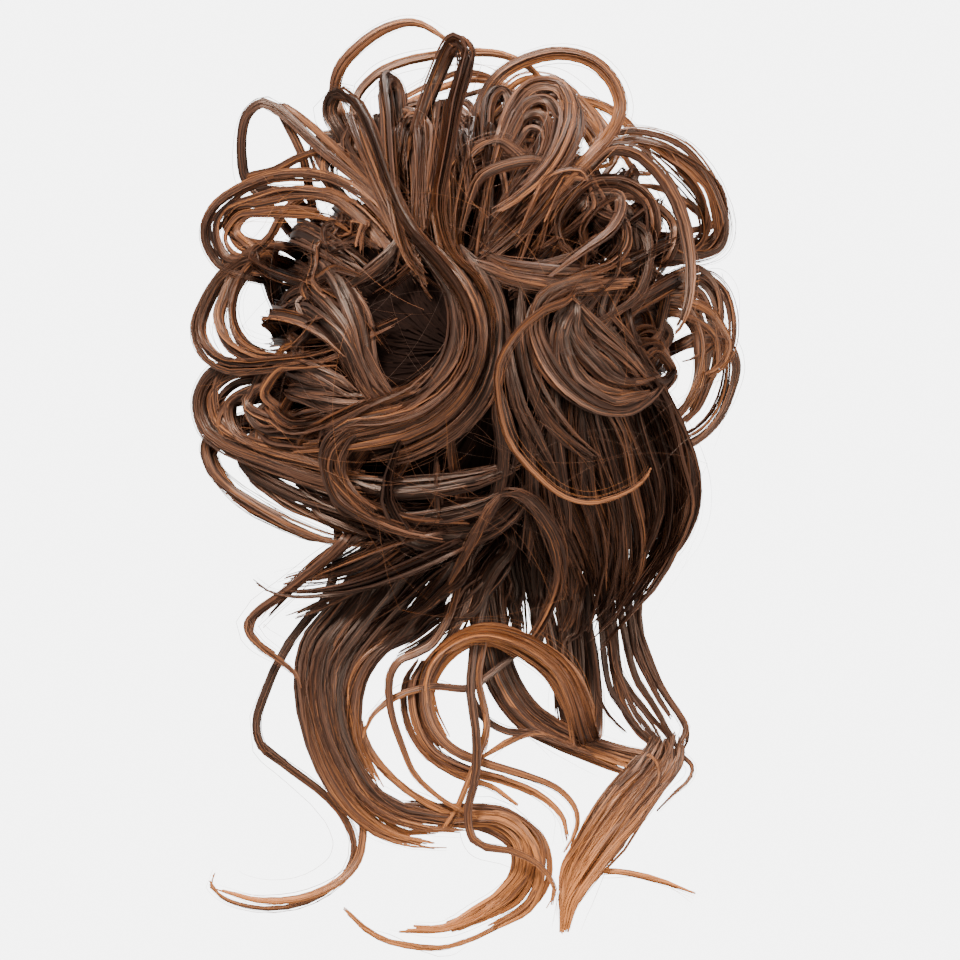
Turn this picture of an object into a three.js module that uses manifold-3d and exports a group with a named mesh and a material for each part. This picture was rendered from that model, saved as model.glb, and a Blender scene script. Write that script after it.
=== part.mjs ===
// A top knot hairpiece: a covered elastic band with curled hair stitched round it.
// The hair stands out as loops, swirls over the front as a bun, and hangs below it as tendrils.
// Millimetres, +Z up. The band's centre is the origin, its axis is Y, and the bun faces -Y.

import * as THREE from "three";
import { mergeVertices } from "three/addons/utils/BufferGeometryUtils.js";
import Module from "manifold-3d";

const wasm = await Module();
wasm.setup();

// Driving sizes
const bunRadius = 90; // from the band's axis to the crowns of the side loops
const tendrilReach = 90; // from the bun's underside to where the long curls turn back
const bandRadius = 28; // to the middle of the elastic
const bandThickness = 8;
const bindingThickness = 2;
const bindingWidth = 14; // along the band's axis
const rowThickness = 3; // a row of stitched hair on the binding
const rowStagger = 0.45; // between a row's neighbouring locks, along the axis
const rowMargin = 3.3; // degrees that a row runs on past its outer locks
const lockFlatness = 0.5; // a lock's thickness as a share of its width
const thinnestLock = 1.8;
const coreRadius = 58; // the dense hair under the curls
const coreHeight = 44; // from its back face to its front
const coreRim = 9; // its thickness at the edge
const thinning = 0.15; // the share that its reach loses on its thin side
const thinSide = 0.3; // radians from +X towards +Z
const coreFullness = 3; // how square the dome is: 2 is round, more is fuller
const bunFullness = 2; // the same for the dome that the loose locks follow
const swirlDepth = 4; // the furrows between its strands
const swirlTwist = 5; // radians of wave that they turn through from the middle to the rim
const hollowRadius = 24; // the pocket for the wearer's own hair
const hollowDepth = 24;
const clearance = 0.4; // between neighbouring pieces

// How finely curves are cut
const bandSides = 8;
const ringSteps = 32;
const coreRings = 7;
const coreLobes = 10;
const coreSteps = 4 * coreLobes;
const hollowSides = 24;
const rowSteps = 5; // per radian
const lockSides = 5;
const finest = 0.05; // edges shorter than this are merged where solids are joined
const flattest = 0.0006; // the least height of a triangle
const longestStep = 34; // between a lock's sections, where it runs straight
const widestTurn = 46; // degrees between its sections, where it curls

const bindingInner = bandRadius + bandThickness / 2 + clearance;
const bindingOuter = bindingInner + bindingThickness;
const rowInner = bindingOuter + clearance;
const rowOuter = rowInner + rowThickness;
const bindingFront = bindingWidth / 2;
const coreBase = bindingFront + clearance;

// Colours seen in daylight
const finishes = {
  elastic: { color: 0x15110f, roughness: 0.85 },
  binding: { color: 0x2a1b14, roughness: 0.9 },
  dark: { color: 0x2b1811, roughness: 0.5 },
  chestnut: { color: 0x5a3522, roughness: 0.45 },
  copper: { color: 0x9a5a32, roughness: 0.4 },
};

// Each group is hair stitched on as one piece, in a row on the back or the front half of the binding.
// A lock leaves the binding at `root` degrees, counted from +X towards +Z, and passes its stations.
// A station is [across, up, lift] in percent of the bun's radius. Lift is how far it lies in front of
// the bun's dome, or of the binding where the group hangs. Below -100, up goes on in percent of the
// tendrils' reach.
// `widths` are at the lock's start, middle and end, in percent of the bun's radius.
const groups = [
  {
    name: "crown_locks",
    row: "back",
    finish: "chestnut",
    locks: [
      {
        root: 105,
        widths: [8, 13, 9],
        path: [[-22, 80, -2], [-24, 78, 8], [-24, 64, 10]],
      },
      {
        root: 95,
        widths: [7, 11, 8],
        path: [[-4, 80, -2], [-1, 78, 8], [1, 60, 9]],
      },
      {
        root: 100,
        widths: [6.5, 9, 5],
        path: [
          [-17, 78, 4], [-10, 100, 6], [-3, 113, 10], [1, 108, 16], [-3, 92, 20], [-6, 72, 20],
          [-9, 50, 18], [-4, 34, 17], [6, 24, 16], [11, 8, 15], [9, -10, 14],
        ],
      },
      {
        root: 110,
        widths: [6.5, 8, 6.5],
        path: [
          [-24, 82, 2], [-26, 97, 5], [-29, 98, 11], [-28, 85, 16], [-27, 68, 16], [-24, 46, 14],
          [-18, 30, 13], [-6, 20, 12],
        ],
      },
      {
        root: 122,
        widths: [5, 9, 6.5],
        path: [
          [-45, 78, 0], [-50, 88, 4], [-47, 95, 8], [-41, 92, 13], [-34, 80, 17], [-28, 62, 18],
          [-20, 44, 18], [-8, 30, 18], [1, 16, 18], [3, 2, 18], [-3, -12, 17], [-15, -22, 16],
          [-30, -26, 15], [-42, -27, 15], [-50, -34, 15], [-51, -46, 14], [-44, -56, 13], [-30, -63, 12],
        ],
      },
      {
        root: 116,
        widths: [4, 4, 4],
        path: [
          [-44, 84, -6], [-48, 95, -4], [-46, 104, -2], [-39, 112, 0], [-29, 118.5, 2],
          [-19, 120.5, 4], [-11, 117, 7], [-3, 110, 12],
        ],
      },
    ],
  },
  {
    name: "upper_left_loops",
    row: "back",
    finish: "chestnut",
    locks: [
      {
        root: 145,
        widths: [8, 13, 9],
        path: [[-67, 45, -5], [-62, 44, 3], [-47, 37, 5], [-32, 26, 4]],
      },
      {
        root: 138,
        widths: [4, 5, 5],
        path: [
          [-66, 58, -6], [-80, 62, -6], [-82.5, 75, -4], [-80, 87, -2], [-74, 91, 0], [-66, 86, 3],
          [-56, 76, 6], [-44, 66, 9], [-32, 56, 9], [-20, 44, 8],
        ],
      },
      {
        root: 150,
        widths: [5, 7.5, 6],
        path: [
          [-66, 38, -6], [-80, 40, -5], [-88, 46, -3], [-85, 53, 0], [-74, 54, 3], [-60, 57, 6],
          [-46, 54, 7], [-34, 42, 7], [-26, 30, 6],
        ],
      },
      {
        root: 160,
        widths: [6, 7.5, 6],
        path: [
          [-80, 27, -4], [-91, 32, -3], [-96, 42, 0], [-93, 52, 3], [-84, 59, 5], [-70, 64, 7],
          [-54, 64, 9], [-40, 58, 9], [-28, 46, 9], [-18, 34, 8],
        ],
      },
    ],
  },
  {
    name: "left_loops",
    row: "back",
    finish: "chestnut",
    locks: [
      {
        root: 172,
        widths: [8, 13, 9],
        path: [[-80, 14, -4], [-72, 18, 3], [-54, 20, 5], [-34, 16, 4]],
      },
      {
        root: 168,
        widths: [7.5, 10, 9],
        path: [
          [-76, 34, -6], [-88, 28, -4], [-95, 17, -2], [-97.5, 8, 0], [-94, 0, 2], [-85, -5, 4],
          [-68, -4, 6], [-50, -1, 8], [-36, 6, 8], [-22, 12, 8],
        ],
      },
      {
        root: 178,
        widths: [6, 9, 5],
        path: [[-76, 6, 0], [-77, 12, 5], [-62, 11, 9], [-50, 5, 10], [-38, -8, 10]],
      },
    ],
  },
  {
    name: "lower_left_loops",
    row: "back",
    finish: "chestnut",
    locks: [
      {
        root: 198,
        widths: [8, 13, 9],
        path: [[-78, -27, -4], [-68, -33, 3], [-48, -38, 3], [-28, -38, 3], [-8, -34, 3]],
      },
      {
        root: 188,
        widths: [9, 11, 7.5],
        path: [
          [-80, -6, -4], [-92, -9, -2], [-97, -18, 0], [-95, -28, 2], [-86, -35, 4], [-72, -40, 6],
          [-56, -46, 7], [-38, -50, 6], [-20, -51, 6], [0, -48, 6], [18, -42, 6],
        ],
      },
      {
        root: 194,
        widths: [6, 7.5, 6],
        path: [[-74, -22, 2], [-64, -29, 8], [-50, -26, 9], [-36, -20, 10], [-20, -14, 10], [-8, -4, 10]],
      },
      {
        root: 202,
        widths: [4, 5, 5],
        path: [
          [-84, -26, -6], [-95, -34, -5], [-93, -44, -3], [-85, -52, -1], [-72, -60, 1],
          [-58, -67, 3], [-44, -71, 5], [-28, -70, 7],
        ],
      },
    ],
  },
  {
    name: "upper_right_loops",
    row: "back",
    finish: "chestnut",
    locks: [
      {
        root: 66,
        widths: [8, 12, 8],
        path: [[31, 72, -4], [26, 68, 4], [18, 54, 4], [10, 40, 3], [4, 30, 3]],
      },
      {
        root: 46,
        widths: [8, 12, 8],
        path: [[56, 56, -12], [50, 52, -5], [36, 40, -4], [20, 26, -4]],
      },
      {
        root: 84,
        widths: [3.5, 5, 5],
        path: [
          [4, 80, 0], [6, 92, 0], [13, 102, 1], [24, 108, 2], [36, 110, 3], [47, 107, 4],
          [55, 99, 6], [58, 89, 7], [54, 79, 8], [46, 70, 9], [36, 60, 9], [26, 48, 8], [18, 38, 7],
        ],
      },
      {
        root: 74,
        widths: [6, 7, 7],
        path: [
          [13, 76, 3], [17, 88, 4], [25, 97, 6], [34, 97, 8], [38, 89, 10], [36, 78, 12],
          [31, 68, 13], [22, 58, 14], [10, 50, 14], [4, 46, 14],
        ],
      },
      {
        root: 58,
        widths: [5, 7, 6],
        path: [
          [44, 66, 4], [54, 74, 8], [64, 72, 10], [74, 62, 11], [80, 50, 11], [83, 36, 11],
          [83, 22, 11], [79, 9, 11], [71, 2, 11],
        ],
      },
      {
        root: 38,
        widths: [3.5, 4, 3.5],
        path: [
          [74, 42, -8], [88, 40, -8], [94, 46, -7], [92, 58, -6], [83, 69, -5], [73, 76, -4],
          [62, 78, -3], [52, 74, -2], [44, 66, 0],
        ],
      },
      {
        root: 30,
        widths: [4, 5.5, 4],
        path: [
          [72, 34, -4], [86, 34, -3], [95, 38, -2], [97, 46, -1], [94, 57, 0], [88, 68, 1],
          [80, 76, 2], [70, 80, 3], [60, 81, 4], [51, 78, 5], [44, 72, 6],
        ],
      },
    ],
  },
  {
    name: "inner_right_curls",
    row: "front",
    finish: "chestnut",
    locks: [
      {
        root: 40,
        widths: [6, 8.5, 7],
        path: [
          [68, 44, 2], [66, 54, 4], [56, 61, 6], [45, 60, 7], [38, 53, 8], [34, 45, 8],
          [37, 36, 9], [46, 31, 9],
        ],
      },
      {
        root: 52,
        widths: [3.5, 3.5, 3.5],
        path: [
          [44, 42, 8], [42, 28, 16], [34, 15, 21], [24, 9, 23], [16, 2, 24], [12, -14, 24],
          [14, -28, 24], [21, -41, 24], [32, -50, 23], [44, -54.5, 22], [56, -53, 21],
          [65, -47, 18], [70, -39, 14],
        ],
      },
    ],
  },
  {
    name: "right_loops",
    row: "back",
    finish: "chestnut",
    locks: [
      {
        root: 14,
        widths: [3.5, 5, 3.5],
        path: [
          [80, 24, -8], [90, 27, -7], [96, 22, -6], [99, 12, -4], [98, 1, -3], [92, -7, -1],
          [88, -9, -3],
        ],
      },
      {
        root: 6,
        widths: [3.5, 4, 3.5],
        path: [[76, 14, -5], [84, 12, -4], [92, 5, -3], [93, -6, -2], [89, -14, -4]],
      },
      {
        root: -2,
        widths: [4, 6, 4],
        path: [
          [84, 4, -6], [96, 3, -5], [100, -5, -4], [98, -16, -3], [93, -26, -2], [86, -33, -2],
          [76, -38, -3], [66, -42, -4],
        ],
      },
    ],
  },
  {
    name: "front_curl",
    row: "front",
    finish: "chestnut",
    locks: [
      {
        root: -16,
        widths: [6, 9.5, 6],
        path: [
          [78, -16, 0], [82, -14, 8], [74, -15, 15], [65, -20, 16], [56, -22, 16], [46, -20, 17],
          [36, -13, 17], [29, -4, 17], [25, 8, 16], [28, 18, 15], [37, 23, 15], [48, 25, 14],
          [58, 27, 13],
        ],
      },
    ],
  },
  {
    name: "right_drape",
    row: "front",
    finish: "dark",
    locks: [
      {
        root: 19.7,
        widths: [6.5, 14, 9],
        path: [
          [50, 14, 2], [38, -2, 3], [32, -20, 4], [30, -40, 4], [32, -60, 4], [36, -78, 3],
          [38, -94, 3],
        ],
      },
      {
        root: 26,
        widths: [6, 8.5, 7],
        path: [
          [54, 24, 6], [50, 12, 8], [58, 2, 8], [66, -9, 8], [73, -20, 8], [80, -34, 8],
          [84, -48, 8], [83.5, -60, 7], [78, -72, 6], [69, -81, 5], [62, -92, 4],
        ],
      },
      {
        root: 12.3,
        widths: [7, 14.5, 9.5],
        path: [
          [56, 10, 3], [46, -4, 5], [46, -20, 6], [50, -38, 6], [55, -58, 6], [54, -76, 5],
          [50, -92, 4], [46, -106, 3],
        ],
      },
      {
        root: 4,
        widths: [7, 14.5, 8.5],
        path: [
          [64, -4, 3], [62, -16, 5], [66, -32, 5], [71, -48, 5], [70, -64, 5], [64, -78, 4],
          [58, -92, 3], [54, -104, 2],
        ],
      },
    ],
  },
  {
    name: "golden_ribbon",
    row: "front",
    finish: "copper",
    locks: [
      {
        root: 300,
        widths: [4, 5, 3.5],
        path: [
          [20, -62, 8], [16, -53, 14], [25, -54, 15], [32, -63, 14], [36, -76, 13], [34, -90, 12],
          [27, -103, 11], [21, -110, 10],
        ],
      },
    ],
  },
  {
    name: "lower_left_sweep",
    row: "front",
    finish: "dark",
    locks: [
      {
        root: 262,
        widths: [10.5, 11.5, 4],
        path: [
          [-4, -70, 6], [-18, -77, 9], [-34, -84, 10], [-50, -88, 10], [-64, -89, 10], [-73, -87, 9],
          [-80, -81, 8],
        ],
      },
      {
        root: 248,
        widths: [8, 10.5, 4],
        path: [[-28, -70, 7], [-38, -77, 8], [-52, -82, 8], [-64, -84, 8], [-72, -87, 8]],
      },
      {
        root: 236,
        widths: [4, 5, 4],
        path: [
          [-44, -70, 8], [-55, -80, 9], [-66, -89, 9], [-76, -96, 8], [-80, -101, 8], [-77, -107, 8],
          [-69, -113, 8], [-62, -119, 7], [-60, -125, 6],
        ],
      },
    ],
  },
  {
    name: "left_tendril",
    row: "back",
    hangs: true,
    finish: "copper",
    locks: [
      {
        root: 228,
        widths: [4.5, 4, 3],
        path: [
          [-47, -76, -2], [-52, -92, 0], [-60, -101, 0], [-67, -111, 1], [-73, -124, 2],
          [-77, -137, 2], [-75, -146, 2], [-66, -153, 2], [-55, -161, 2], [-46, -170, 2],
          [-41, -181, 3], [-43, -191, 4], [-51, -199, 5], [-62, -204, 6], [-76, -205, 7],
          [-89, -201, 8], [-94, -195, 8], [-88, -190, 7],
        ],
      },
    ],
  },
  {
    name: "main_tendrils",
    row: "back",
    hangs: true,
    finish: "dark",
    locks: [
      {
        root: 240,
        widths: [7.5, 7.5, 4.5],
        path: [
          [-36, -76, 0], [-46, -94, 2], [-57, -108, 3], [-59.5, -124, 4], [-57, -140, 4],
          [-51, -156, 4], [-42, -169, 5], [-30, -178, 6], [-16, -182, 8], [-1, -182, 9],
        ],
      },
      {
        root: 247,
        widths: [7.5, 6, 4.5],
        path: [
          [-30, -80, 1], [-40, -97, 3], [-50, -109, 5], [-53, -123, 6], [-51, -138, 7],
          [-45, -153, 8], [-36, -166, 8], [-24, -173, 9], [-8, -176, 9], [10, -175, 8],
        ],
      },
      {
        root: 254,
        widths: [7.5, 6, 4],
        path: [
          [-20, -84, 1], [-30, -100, 3], [-41, -110, 5], [-46, -122, 7], [-46, -136, 8],
          [-41, -151, 8], [-33, -163, 8], [-20, -170, 8], [-4, -172, 8], [12, -173, 7],
          [21, -180, 6], [23, -189, 4], [17, -199, 3], [6, -208, 2], [-8, -215, 2], [-22, -216, 2],
        ],
      },
      {
        root: 260,
        widths: [7.5, 5, 4],
        path: [
          [-10, -88, 1], [-18, -101, 3], [-31, -108, 4], [-39, -120, 5], [-41, -134, 5],
          [-38, -149, 5], [-30, -163, 6],
        ],
      },
    ],
  },
  {
    name: "inner_curls",
    row: "front",
    hangs: true,
    finish: "copper",
    locks: [
      {
        root: 272,
        widths: [3.5, 3.5, 3.5],
        path: [
          [-1, -80, 4], [-4, -98, 12], [-12, -109, 13], [-23, -113, 13], [-28, -121, 13],
          [-27, -132, 13], [-21, -147, 13], [-12, -161, 14],
        ],
      },
      {
        root: 277,
        widths: [3.5, 4, 3.5],
        path: [
          [4, -82, 4], [-2, -100, 8], [-10, -112, 10], [-15, -124, 10], [-13, -137, 10], [-5, -147, 10],
          [10, -153, 10], [24, -157, 10], [35, -162, 10], [41, -170, 10], [40, -179, 10], [35, -187, 10],
        ],
      },
      {
        root: 282,
        widths: [4, 3.5, 3],
        path: [
          [9, -84, 4], [4, -106, 8], [2, -125, 12], [4, -140, 15], [4, -156, 15], [1, -170, 15],
          [4, -181, 14], [17, -184, 13], [28, -190, 12], [33, -200, 12], [27, -209, 12],
        ],
      },
    ],
  },
  {
    name: "center_tendrils",
    row: "back",
    hangs: true,
    finish: "dark",
    locks: [
      {
        root: 272,
        widths: [9, 8, 4],
        path: [
          [4, -84, -2], [8, -102, -2], [14, -120, -3], [22, -133, -3], [31, -141, -3], [38, -145, -3],
        ],
      },
      {
        root: 282,
        widths: [9, 8, 4],
        path: [[18, -84, -1], [26, -102, -2], [30, -120, -3], [32, -136, -4], [36, -146, -5]],
      },
    ],
  },
  {
    name: "amber_curl",
    row: "back",
    hangs: true,
    finish: "copper",
    locks: [
      {
        root: 296,
        widths: [6.5, 12, 4.5],
        path: [
          [36, -84, -8], [45, -106, -10], [49, -128, -10], [51, -143, -6], [50, -150, 3],
          [48, -144, 11], [44, -131, 14], [37, -119, 14], [28, -111, 14], [17, -106, 14],
          [6, -104, 14], [-4, -107, 15], [-12, -114, 16], [-15, -122, 16], [-14, -131, 16],
        ],
      },
    ],
  },
  {
    name: "right_tendrils",
    row: "back",
    hangs: true,
    finish: "copper",
    locks: [
      {
        root: 306,
        widths: [4.5, 13, 3.5],
        path: [
          [46, -76, -4], [52, -98, -4], [55, -116, -4], [58, -130, -3], [64, -140, -2], [72, -147, 0],
          [75, -153, 2], [71, -160, 3], [62, -170, 4], [52, -183, 4], [44, -195, 4], [38, -206, 4],
          [36, -214, 4],
        ],
      },
      {
        root: 314,
        widths: [5.5, 4.5, 3.5],
        path: [
          [54, -70, -3], [57, -90, -2], [60, -106, -2], [63, -118, -2], [69, -130, -2],
          [74, -140, -2], [77, -149, -1],
        ],
      },
      {
        root: 322,
        widths: [5.5, 4.5, 3.5],
        path: [
          [62, -70, -2], [64, -88, -2], [64, -102, -2], [68, -114, -2], [73, -125, -2],
          [79, -134, -2], [82, -142, -2], [78, -151, 0],
        ],
      },
    ],
  },
];

const percent = 0.01;

// How far a dome of the core's height and a given radius stands in front of the band
function domeFront(distance, radius, rim, fullness) {
  const bulge = Math.max(0, 1 - (distance / radius) ** fullness);
  return coreBase + rim + (coreHeight - rim) * bulge;
}

// The dense hair's reach from the axis: flatter on the side where the bun is thin
function coreReach(turn) {
  return coreRadius * (1 - thinning * Math.max(0, Math.cos(turn - thinSide)) ** 2);
}

function coreFront(x, z) {
  return domeFront(Math.hypot(x, z), coreReach(Math.atan2(z, x)), coreRim, coreFullness);
}

// The point that a station names: the bun's dome, or a flat back, plus its lift
function stationPoint([across, up, lift], hangs) {
  const x = across * percent * bunRadius;
  const hanging = Math.min(0, up + 100) * percent * tendrilReach;
  const z = Math.max(up, -100) * percent * bunRadius + hanging;
  const ground = hangs ? coreBase : domeFront(Math.hypot(x, z), bunRadius, coreRim / 3, bunFullness);
  return new THREE.Vector3(x, -ground - lift * percent * bunRadius, z);
}

// A row of stitches takes the front or the back half of the binding's width
const rowWidth = bindingFront - clearance;
const rowMiddle = { front: -(rowWidth + clearance) / 2, back: (rowWidth + clearance) / 2 };

// A lock's width at a share of its length
function widthAt(lock, share) {
  const [start, middle, end] = lock.widths;
  const width = share < 0.5
    ? THREE.MathUtils.lerp(start, middle, share * 2)
    : THREE.MathUtils.lerp(middle, end, share * 2 - 1);
  return width * percent * bunRadius;
}

function thicknessOf(width) {
  return THREE.MathUtils.clamp(width * lockFlatness, thinnestLock, rowWidth);
}

// A lock's line and its sections: out of its row along the radius, then through its stations,
// kept in front of the dense hair, with a section wherever it has run or turned far enough
function lockSections(lock, { row, hangs, locks }) {
  const angle = THREE.MathUtils.degToRad(lock.root);
  const outward = new THREE.Vector3(Math.cos(angle), 0, Math.sin(angle));
  const along = rowMiddle[row] + rowStagger * ((locks.indexOf(lock) % 3) - 1);
  const root = outward.clone().multiplyScalar(rowInner + rowThickness / 2).setY(along);
  const edge = outward.clone().multiplyScalar(coreRadius + widthAt(lock, 0)).setY(along);
  const curve = new THREE.CatmullRomCurve3([root, edge, ...lock.path.map((at) => stationPoint(at, hangs))]);
  const length = curve.getLength();
  const steps = Math.ceil(length);
  const underCore = edge.distanceTo(root);
  const fine = curve.getSpacedPoints(steps).map((point, i) => {
    const share = i / steps;
    const away = Math.hypot(point.x, point.z);
    if (share * length < underCore) point.setY(along);
    else if (away < coreReach(Math.atan2(point.z, point.x))) {
      const least = coreFront(point.x, point.z) + thicknessOf(widthAt(lock, share)) / 2;
      point.setY(Math.min(point.y, -least));
    }
    return { point, width: widthAt(lock, share) };
  });
  let spent = 0;
  return fine.filter(({ point }, i) => {
    if (i === 0 || i === steps) return true;
    const before = point.clone().sub(fine[i - 1].point);
    const after = fine[i + 1].point.clone().sub(point);
    spent += before.length() / longestStep;
    spent += THREE.MathUtils.radToDeg(before.angleTo(after)) / widestTurn;
    const placed = spent >= 1 && i < steps - 3;
    if (placed) spent = 0;
    return placed;
  });
}

// A closed body through five-sided sections along a lock's line; growth is added all round
function lockSolid(lock, group, growth) {
  const sections = lockSections(lock, group);
  const last = sections.length - 1;
  const positions = [];
  const facing = new THREE.Vector3(0, -1, 0);
  sections.forEach(({ point, width }, i) => {
    const next = sections[Math.min(i + 1, last)].point;
    const along = next.clone().sub(sections[Math.max(i - 1, 0)].point).normalize();
    facing.addScaledVector(along, -facing.dot(along)).normalize();
    const side = new THREE.Vector3().crossVectors(facing, along);
    const overrun = i === 0 ? -growth : i === last ? growth : 0;
    for (let k = 0; k < lockSides; k += 1) {
      const turn = (2 * Math.PI * k) / lockSides;
      const rim = point.clone().addScaledVector(along, overrun);
      rim.addScaledVector(side, (width / 2 + growth) * Math.cos(turn));
      rim.addScaledVector(facing, (thicknessOf(width) / 2 + growth) * Math.sin(turn));
      positions.push(rim.x, rim.y, rim.z);
    }
  });
  const triangles = [];
  for (let i = 0; i < last; i += 1) {
    for (let k = 0; k < lockSides; k += 1) {
      const a = i * lockSides + k;
      const b = i * lockSides + ((k + 1) % lockSides);
      triangles.push(a, b, b + lockSides, a, b + lockSides, a + lockSides);
    }
  }
  for (let k = 1; k < lockSides - 1; k += 1) {
    const end = last * lockSides;
    triangles.push(0, k + 1, k, end, end + k, end + k + 1);
  }
  return solidFrom(positions, triangles);
}

function solidFrom(positions, triangles) {
  const mesh = new wasm.Mesh({
    numProp: 3,
    vertProperties: new Float32Array(positions),
    triVerts: new Uint32Array(triangles),
    tolerance: finest,
  });
  return new wasm.Manifold(mesh);
}

// A closed three.js geometry as a solid that can be joined and cut
function solidOf(geometry) {
  const bare = geometry.clone();
  bare.deleteAttribute("normal");
  bare.deleteAttribute("uv");
  const merged = mergeVertices(bare, 1e-4);
  return solidFrom(merged.attributes.position.array, merged.index.array);
}

// Where solids are joined, a triangle can come out flat, with its third corner on its longest side.
// It goes, and the triangle across that side is split at the corner instead.
function withoutFlats(corners, positions) {
  const at = (v) => new THREE.Vector3().fromArray(positions, v * 3);
  const triangles = [];
  for (let i = 0; i < corners.length; i += 3) triangles.push([...corners.slice(i, i + 3)]);
  const longestFirst = ([a, b, c]) => {
    const turns = [[a, b, c], [b, c, a], [c, a, b]];
    const span = ([from, to]) => at(from).distanceTo(at(to));
    return turns.reduce((best, turn) => (span(turn) > span(best) ? turn : best));
  };
  const height = ([a, b, c]) => new THREE.Line3(at(a), at(b))
    .closestPointToPoint(at(c), true, new THREE.Vector3())
    .distanceTo(at(c));
  triangles.forEach((triangle, i) => {
    const [a, b, c] = longestFirst(triangle);
    if (height([a, b, c]) > flattest) return;
    const across = triangles.findIndex((other) => (
      [0, 1, 2].some((k) => other[k] === b && other[(k + 1) % 3] === a)
    ));
    const far = triangles[across].find((v) => v !== a && v !== b);
    if (far === c) return;
    triangles[across] = [b, c, far];
    triangles[i] = [c, a, far];
  });
  return triangles.flat();
}

function geometryOf(solid) {
  const { vertProperties, triVerts } = solid.getMesh();
  const geometry = new THREE.BufferGeometry();
  geometry.setAttribute("position", new THREE.BufferAttribute(vertProperties, 3));
  geometry.setIndex(withoutFlats(triVerts, vertProperties));
  geometry.computeVertexNormals();
  return geometry;
}

// A ring turned from a closed outline of [distance from the axis, place along it]
function turned(outline) {
  const profile = [...outline, outline[0]].map(([away, along]) => new THREE.Vector2(away, along));
  return new THREE.LatheGeometry(profile, ringSteps);
}

// The elastic: a round ring
function bandGeometry() {
  const reach = bandThickness / 2;
  const outline = Array.from({ length: bandSides }, (_, i) => {
    const turn = (2 * Math.PI * i) / bandSides;
    return [bandRadius + reach * Math.cos(turn), reach * Math.sin(turn)];
  });
  return turned(outline);
}

// The woven tape that the rows are stitched to: a sleeve round the elastic
function bindingGeometry() {
  return turned([
    [bindingOuter, -bindingFront],
    [bindingOuter, bindingFront],
    [bindingInner, bindingFront],
    [bindingInner, -bindingFront],
  ]);
}

// The dense hair: a dome with furrows that swirl round its front
function coreSolid(growth, furrows) {
  const positions = [0, -coreFront(0, 0) - growth, 0];
  const ring = (share, frontAt) => {
    for (let k = 0; k < coreSteps; k += 1) {
      const turn = (2 * Math.PI * k) / coreSteps;
      const away = share * coreReach(turn);
      const reach = away + share * growth;
      const front = frontAt(away * Math.cos(turn), away * Math.sin(turn), turn);
      positions.push(reach * Math.cos(turn), -front, reach * Math.sin(turn));
    }
  };
  for (let i = 1; i <= coreRings; i += 1) {
    const share = i / coreRings;
    ring(share, (x, z, turn) => {
      const wave = 0.5 - 0.5 * Math.cos(coreLobes * turn + swirlTwist * share);
      return coreFront(x, z) + growth - furrows * swirlDepth * wave * share;
    });
  }
  ring(1, () => coreBase - growth);
  positions.push(0, -coreBase + growth, 0);
  const back = 1 + (coreRings + 1) * coreSteps;
  const triangles = [];
  for (let k = 0; k < coreSteps; k += 1) {
    const next = (k + 1) % coreSteps;
    triangles.push(0, 1 + k, 1 + next);
    for (let i = 0; i < coreRings; i += 1) {
      const a = 1 + i * coreSteps + k;
      const b = 1 + i * coreSteps + next;
      triangles.push(a, a + coreSteps, b + coreSteps, a, b + coreSteps, b);
    }
    triangles.push(back, back - coreSteps + next, back - coreSteps + k);
  }
  return solidFrom(positions, triangles);
}

// The pocket in the dense hair, open at the back
function hollowSolid() {
  const pocket = new THREE.SphereGeometry(1, hollowSides, hollowSides / 2);
  pocket.scale(hollowRadius, hollowDepth, hollowRadius);
  pocket.translate(0, -coreBase, 0);
  return solidOf(pocket);
}

// The row of stitched hair that a group's locks are fused to: an arc on the binding
function rowSolid(group, growth) {
  const roots = group.locks.map((lock) => lock.root);
  const spare = rowMargin + (growth / rowInner) * THREE.MathUtils.RAD2DEG;
  const from = THREE.MathUtils.degToRad(Math.min(...roots) - spare);
  const to = THREE.MathUtils.degToRad(Math.max(...roots) + spare);
  const outline = new THREE.Shape();
  outline.absarc(0, 0, rowOuter + growth, from, to, false);
  outline.absarc(0, 0, rowInner - growth, to, from, true);
  const depth = rowWidth + 2 * growth;
  const curveSegments = Math.max(2, Math.ceil((to - from) * rowSteps));
  const arc = new THREE.ExtrudeGeometry(outline, { depth, bevelEnabled: false, curveSegments });
  arc.rotateX(Math.PI / 2);
  arc.translate(0, rowMiddle[group.row] + depth / 2, 0);
  return solidOf(arc);
}

function groupSolid(group, growth) {
  const locks = group.locks.map((lock) => lockSolid(lock, group, growth));
  return locks.reduce((joined, lock) => joined.add(lock), rowSolid(group, growth));
}

// The largest body alone: crossing locks can seal a pocket, and a cut can leave a crumb
function oneBody(solid) {
  return solid.decompose().reduce((a, b) => (b.volume() > a.volume() ? b : a));
}

function boxesMeet(a, b) {
  return [0, 1, 2].every((k) => a.min[k] < b.max[k] && b.min[k] < a.max[k]);
}

function namedMesh(name, geometry, finish) {
  const material = new THREE.MeshStandardMaterial({ metalness: 0, ...finishes[finish] });
  const mesh = new THREE.Mesh(geometry, material);
  mesh.name = name;
  return mesh;
}

const hairpiece = new THREE.Group();
hairpiece.add(namedMesh("elastic_band", bandGeometry(), "elastic"));
hairpiece.add(namedMesh("weft_binding", bindingGeometry(), "binding"));
hairpiece.add(namedMesh("bun_core", geometryOf(coreSolid(0, 1).subtract(hollowSolid())), "dark"));

// Each group is cut clear of the dense hair and of the groups before it
const cutters = [coreSolid(clearance, 0)];
for (const group of groups) {
  let solid = groupSolid(group, 0);
  for (const cutter of cutters) {
    if (boxesMeet(solid.boundingBox(), cutter.boundingBox())) solid = solid.subtract(cutter);
  }
  cutters.push(groupSolid(group, clearance));
  hairpiece.add(namedMesh(group.name, geometryOf(oneBody(solid)), group.finish));
}

export default hairpiece;
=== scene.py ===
import math

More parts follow.
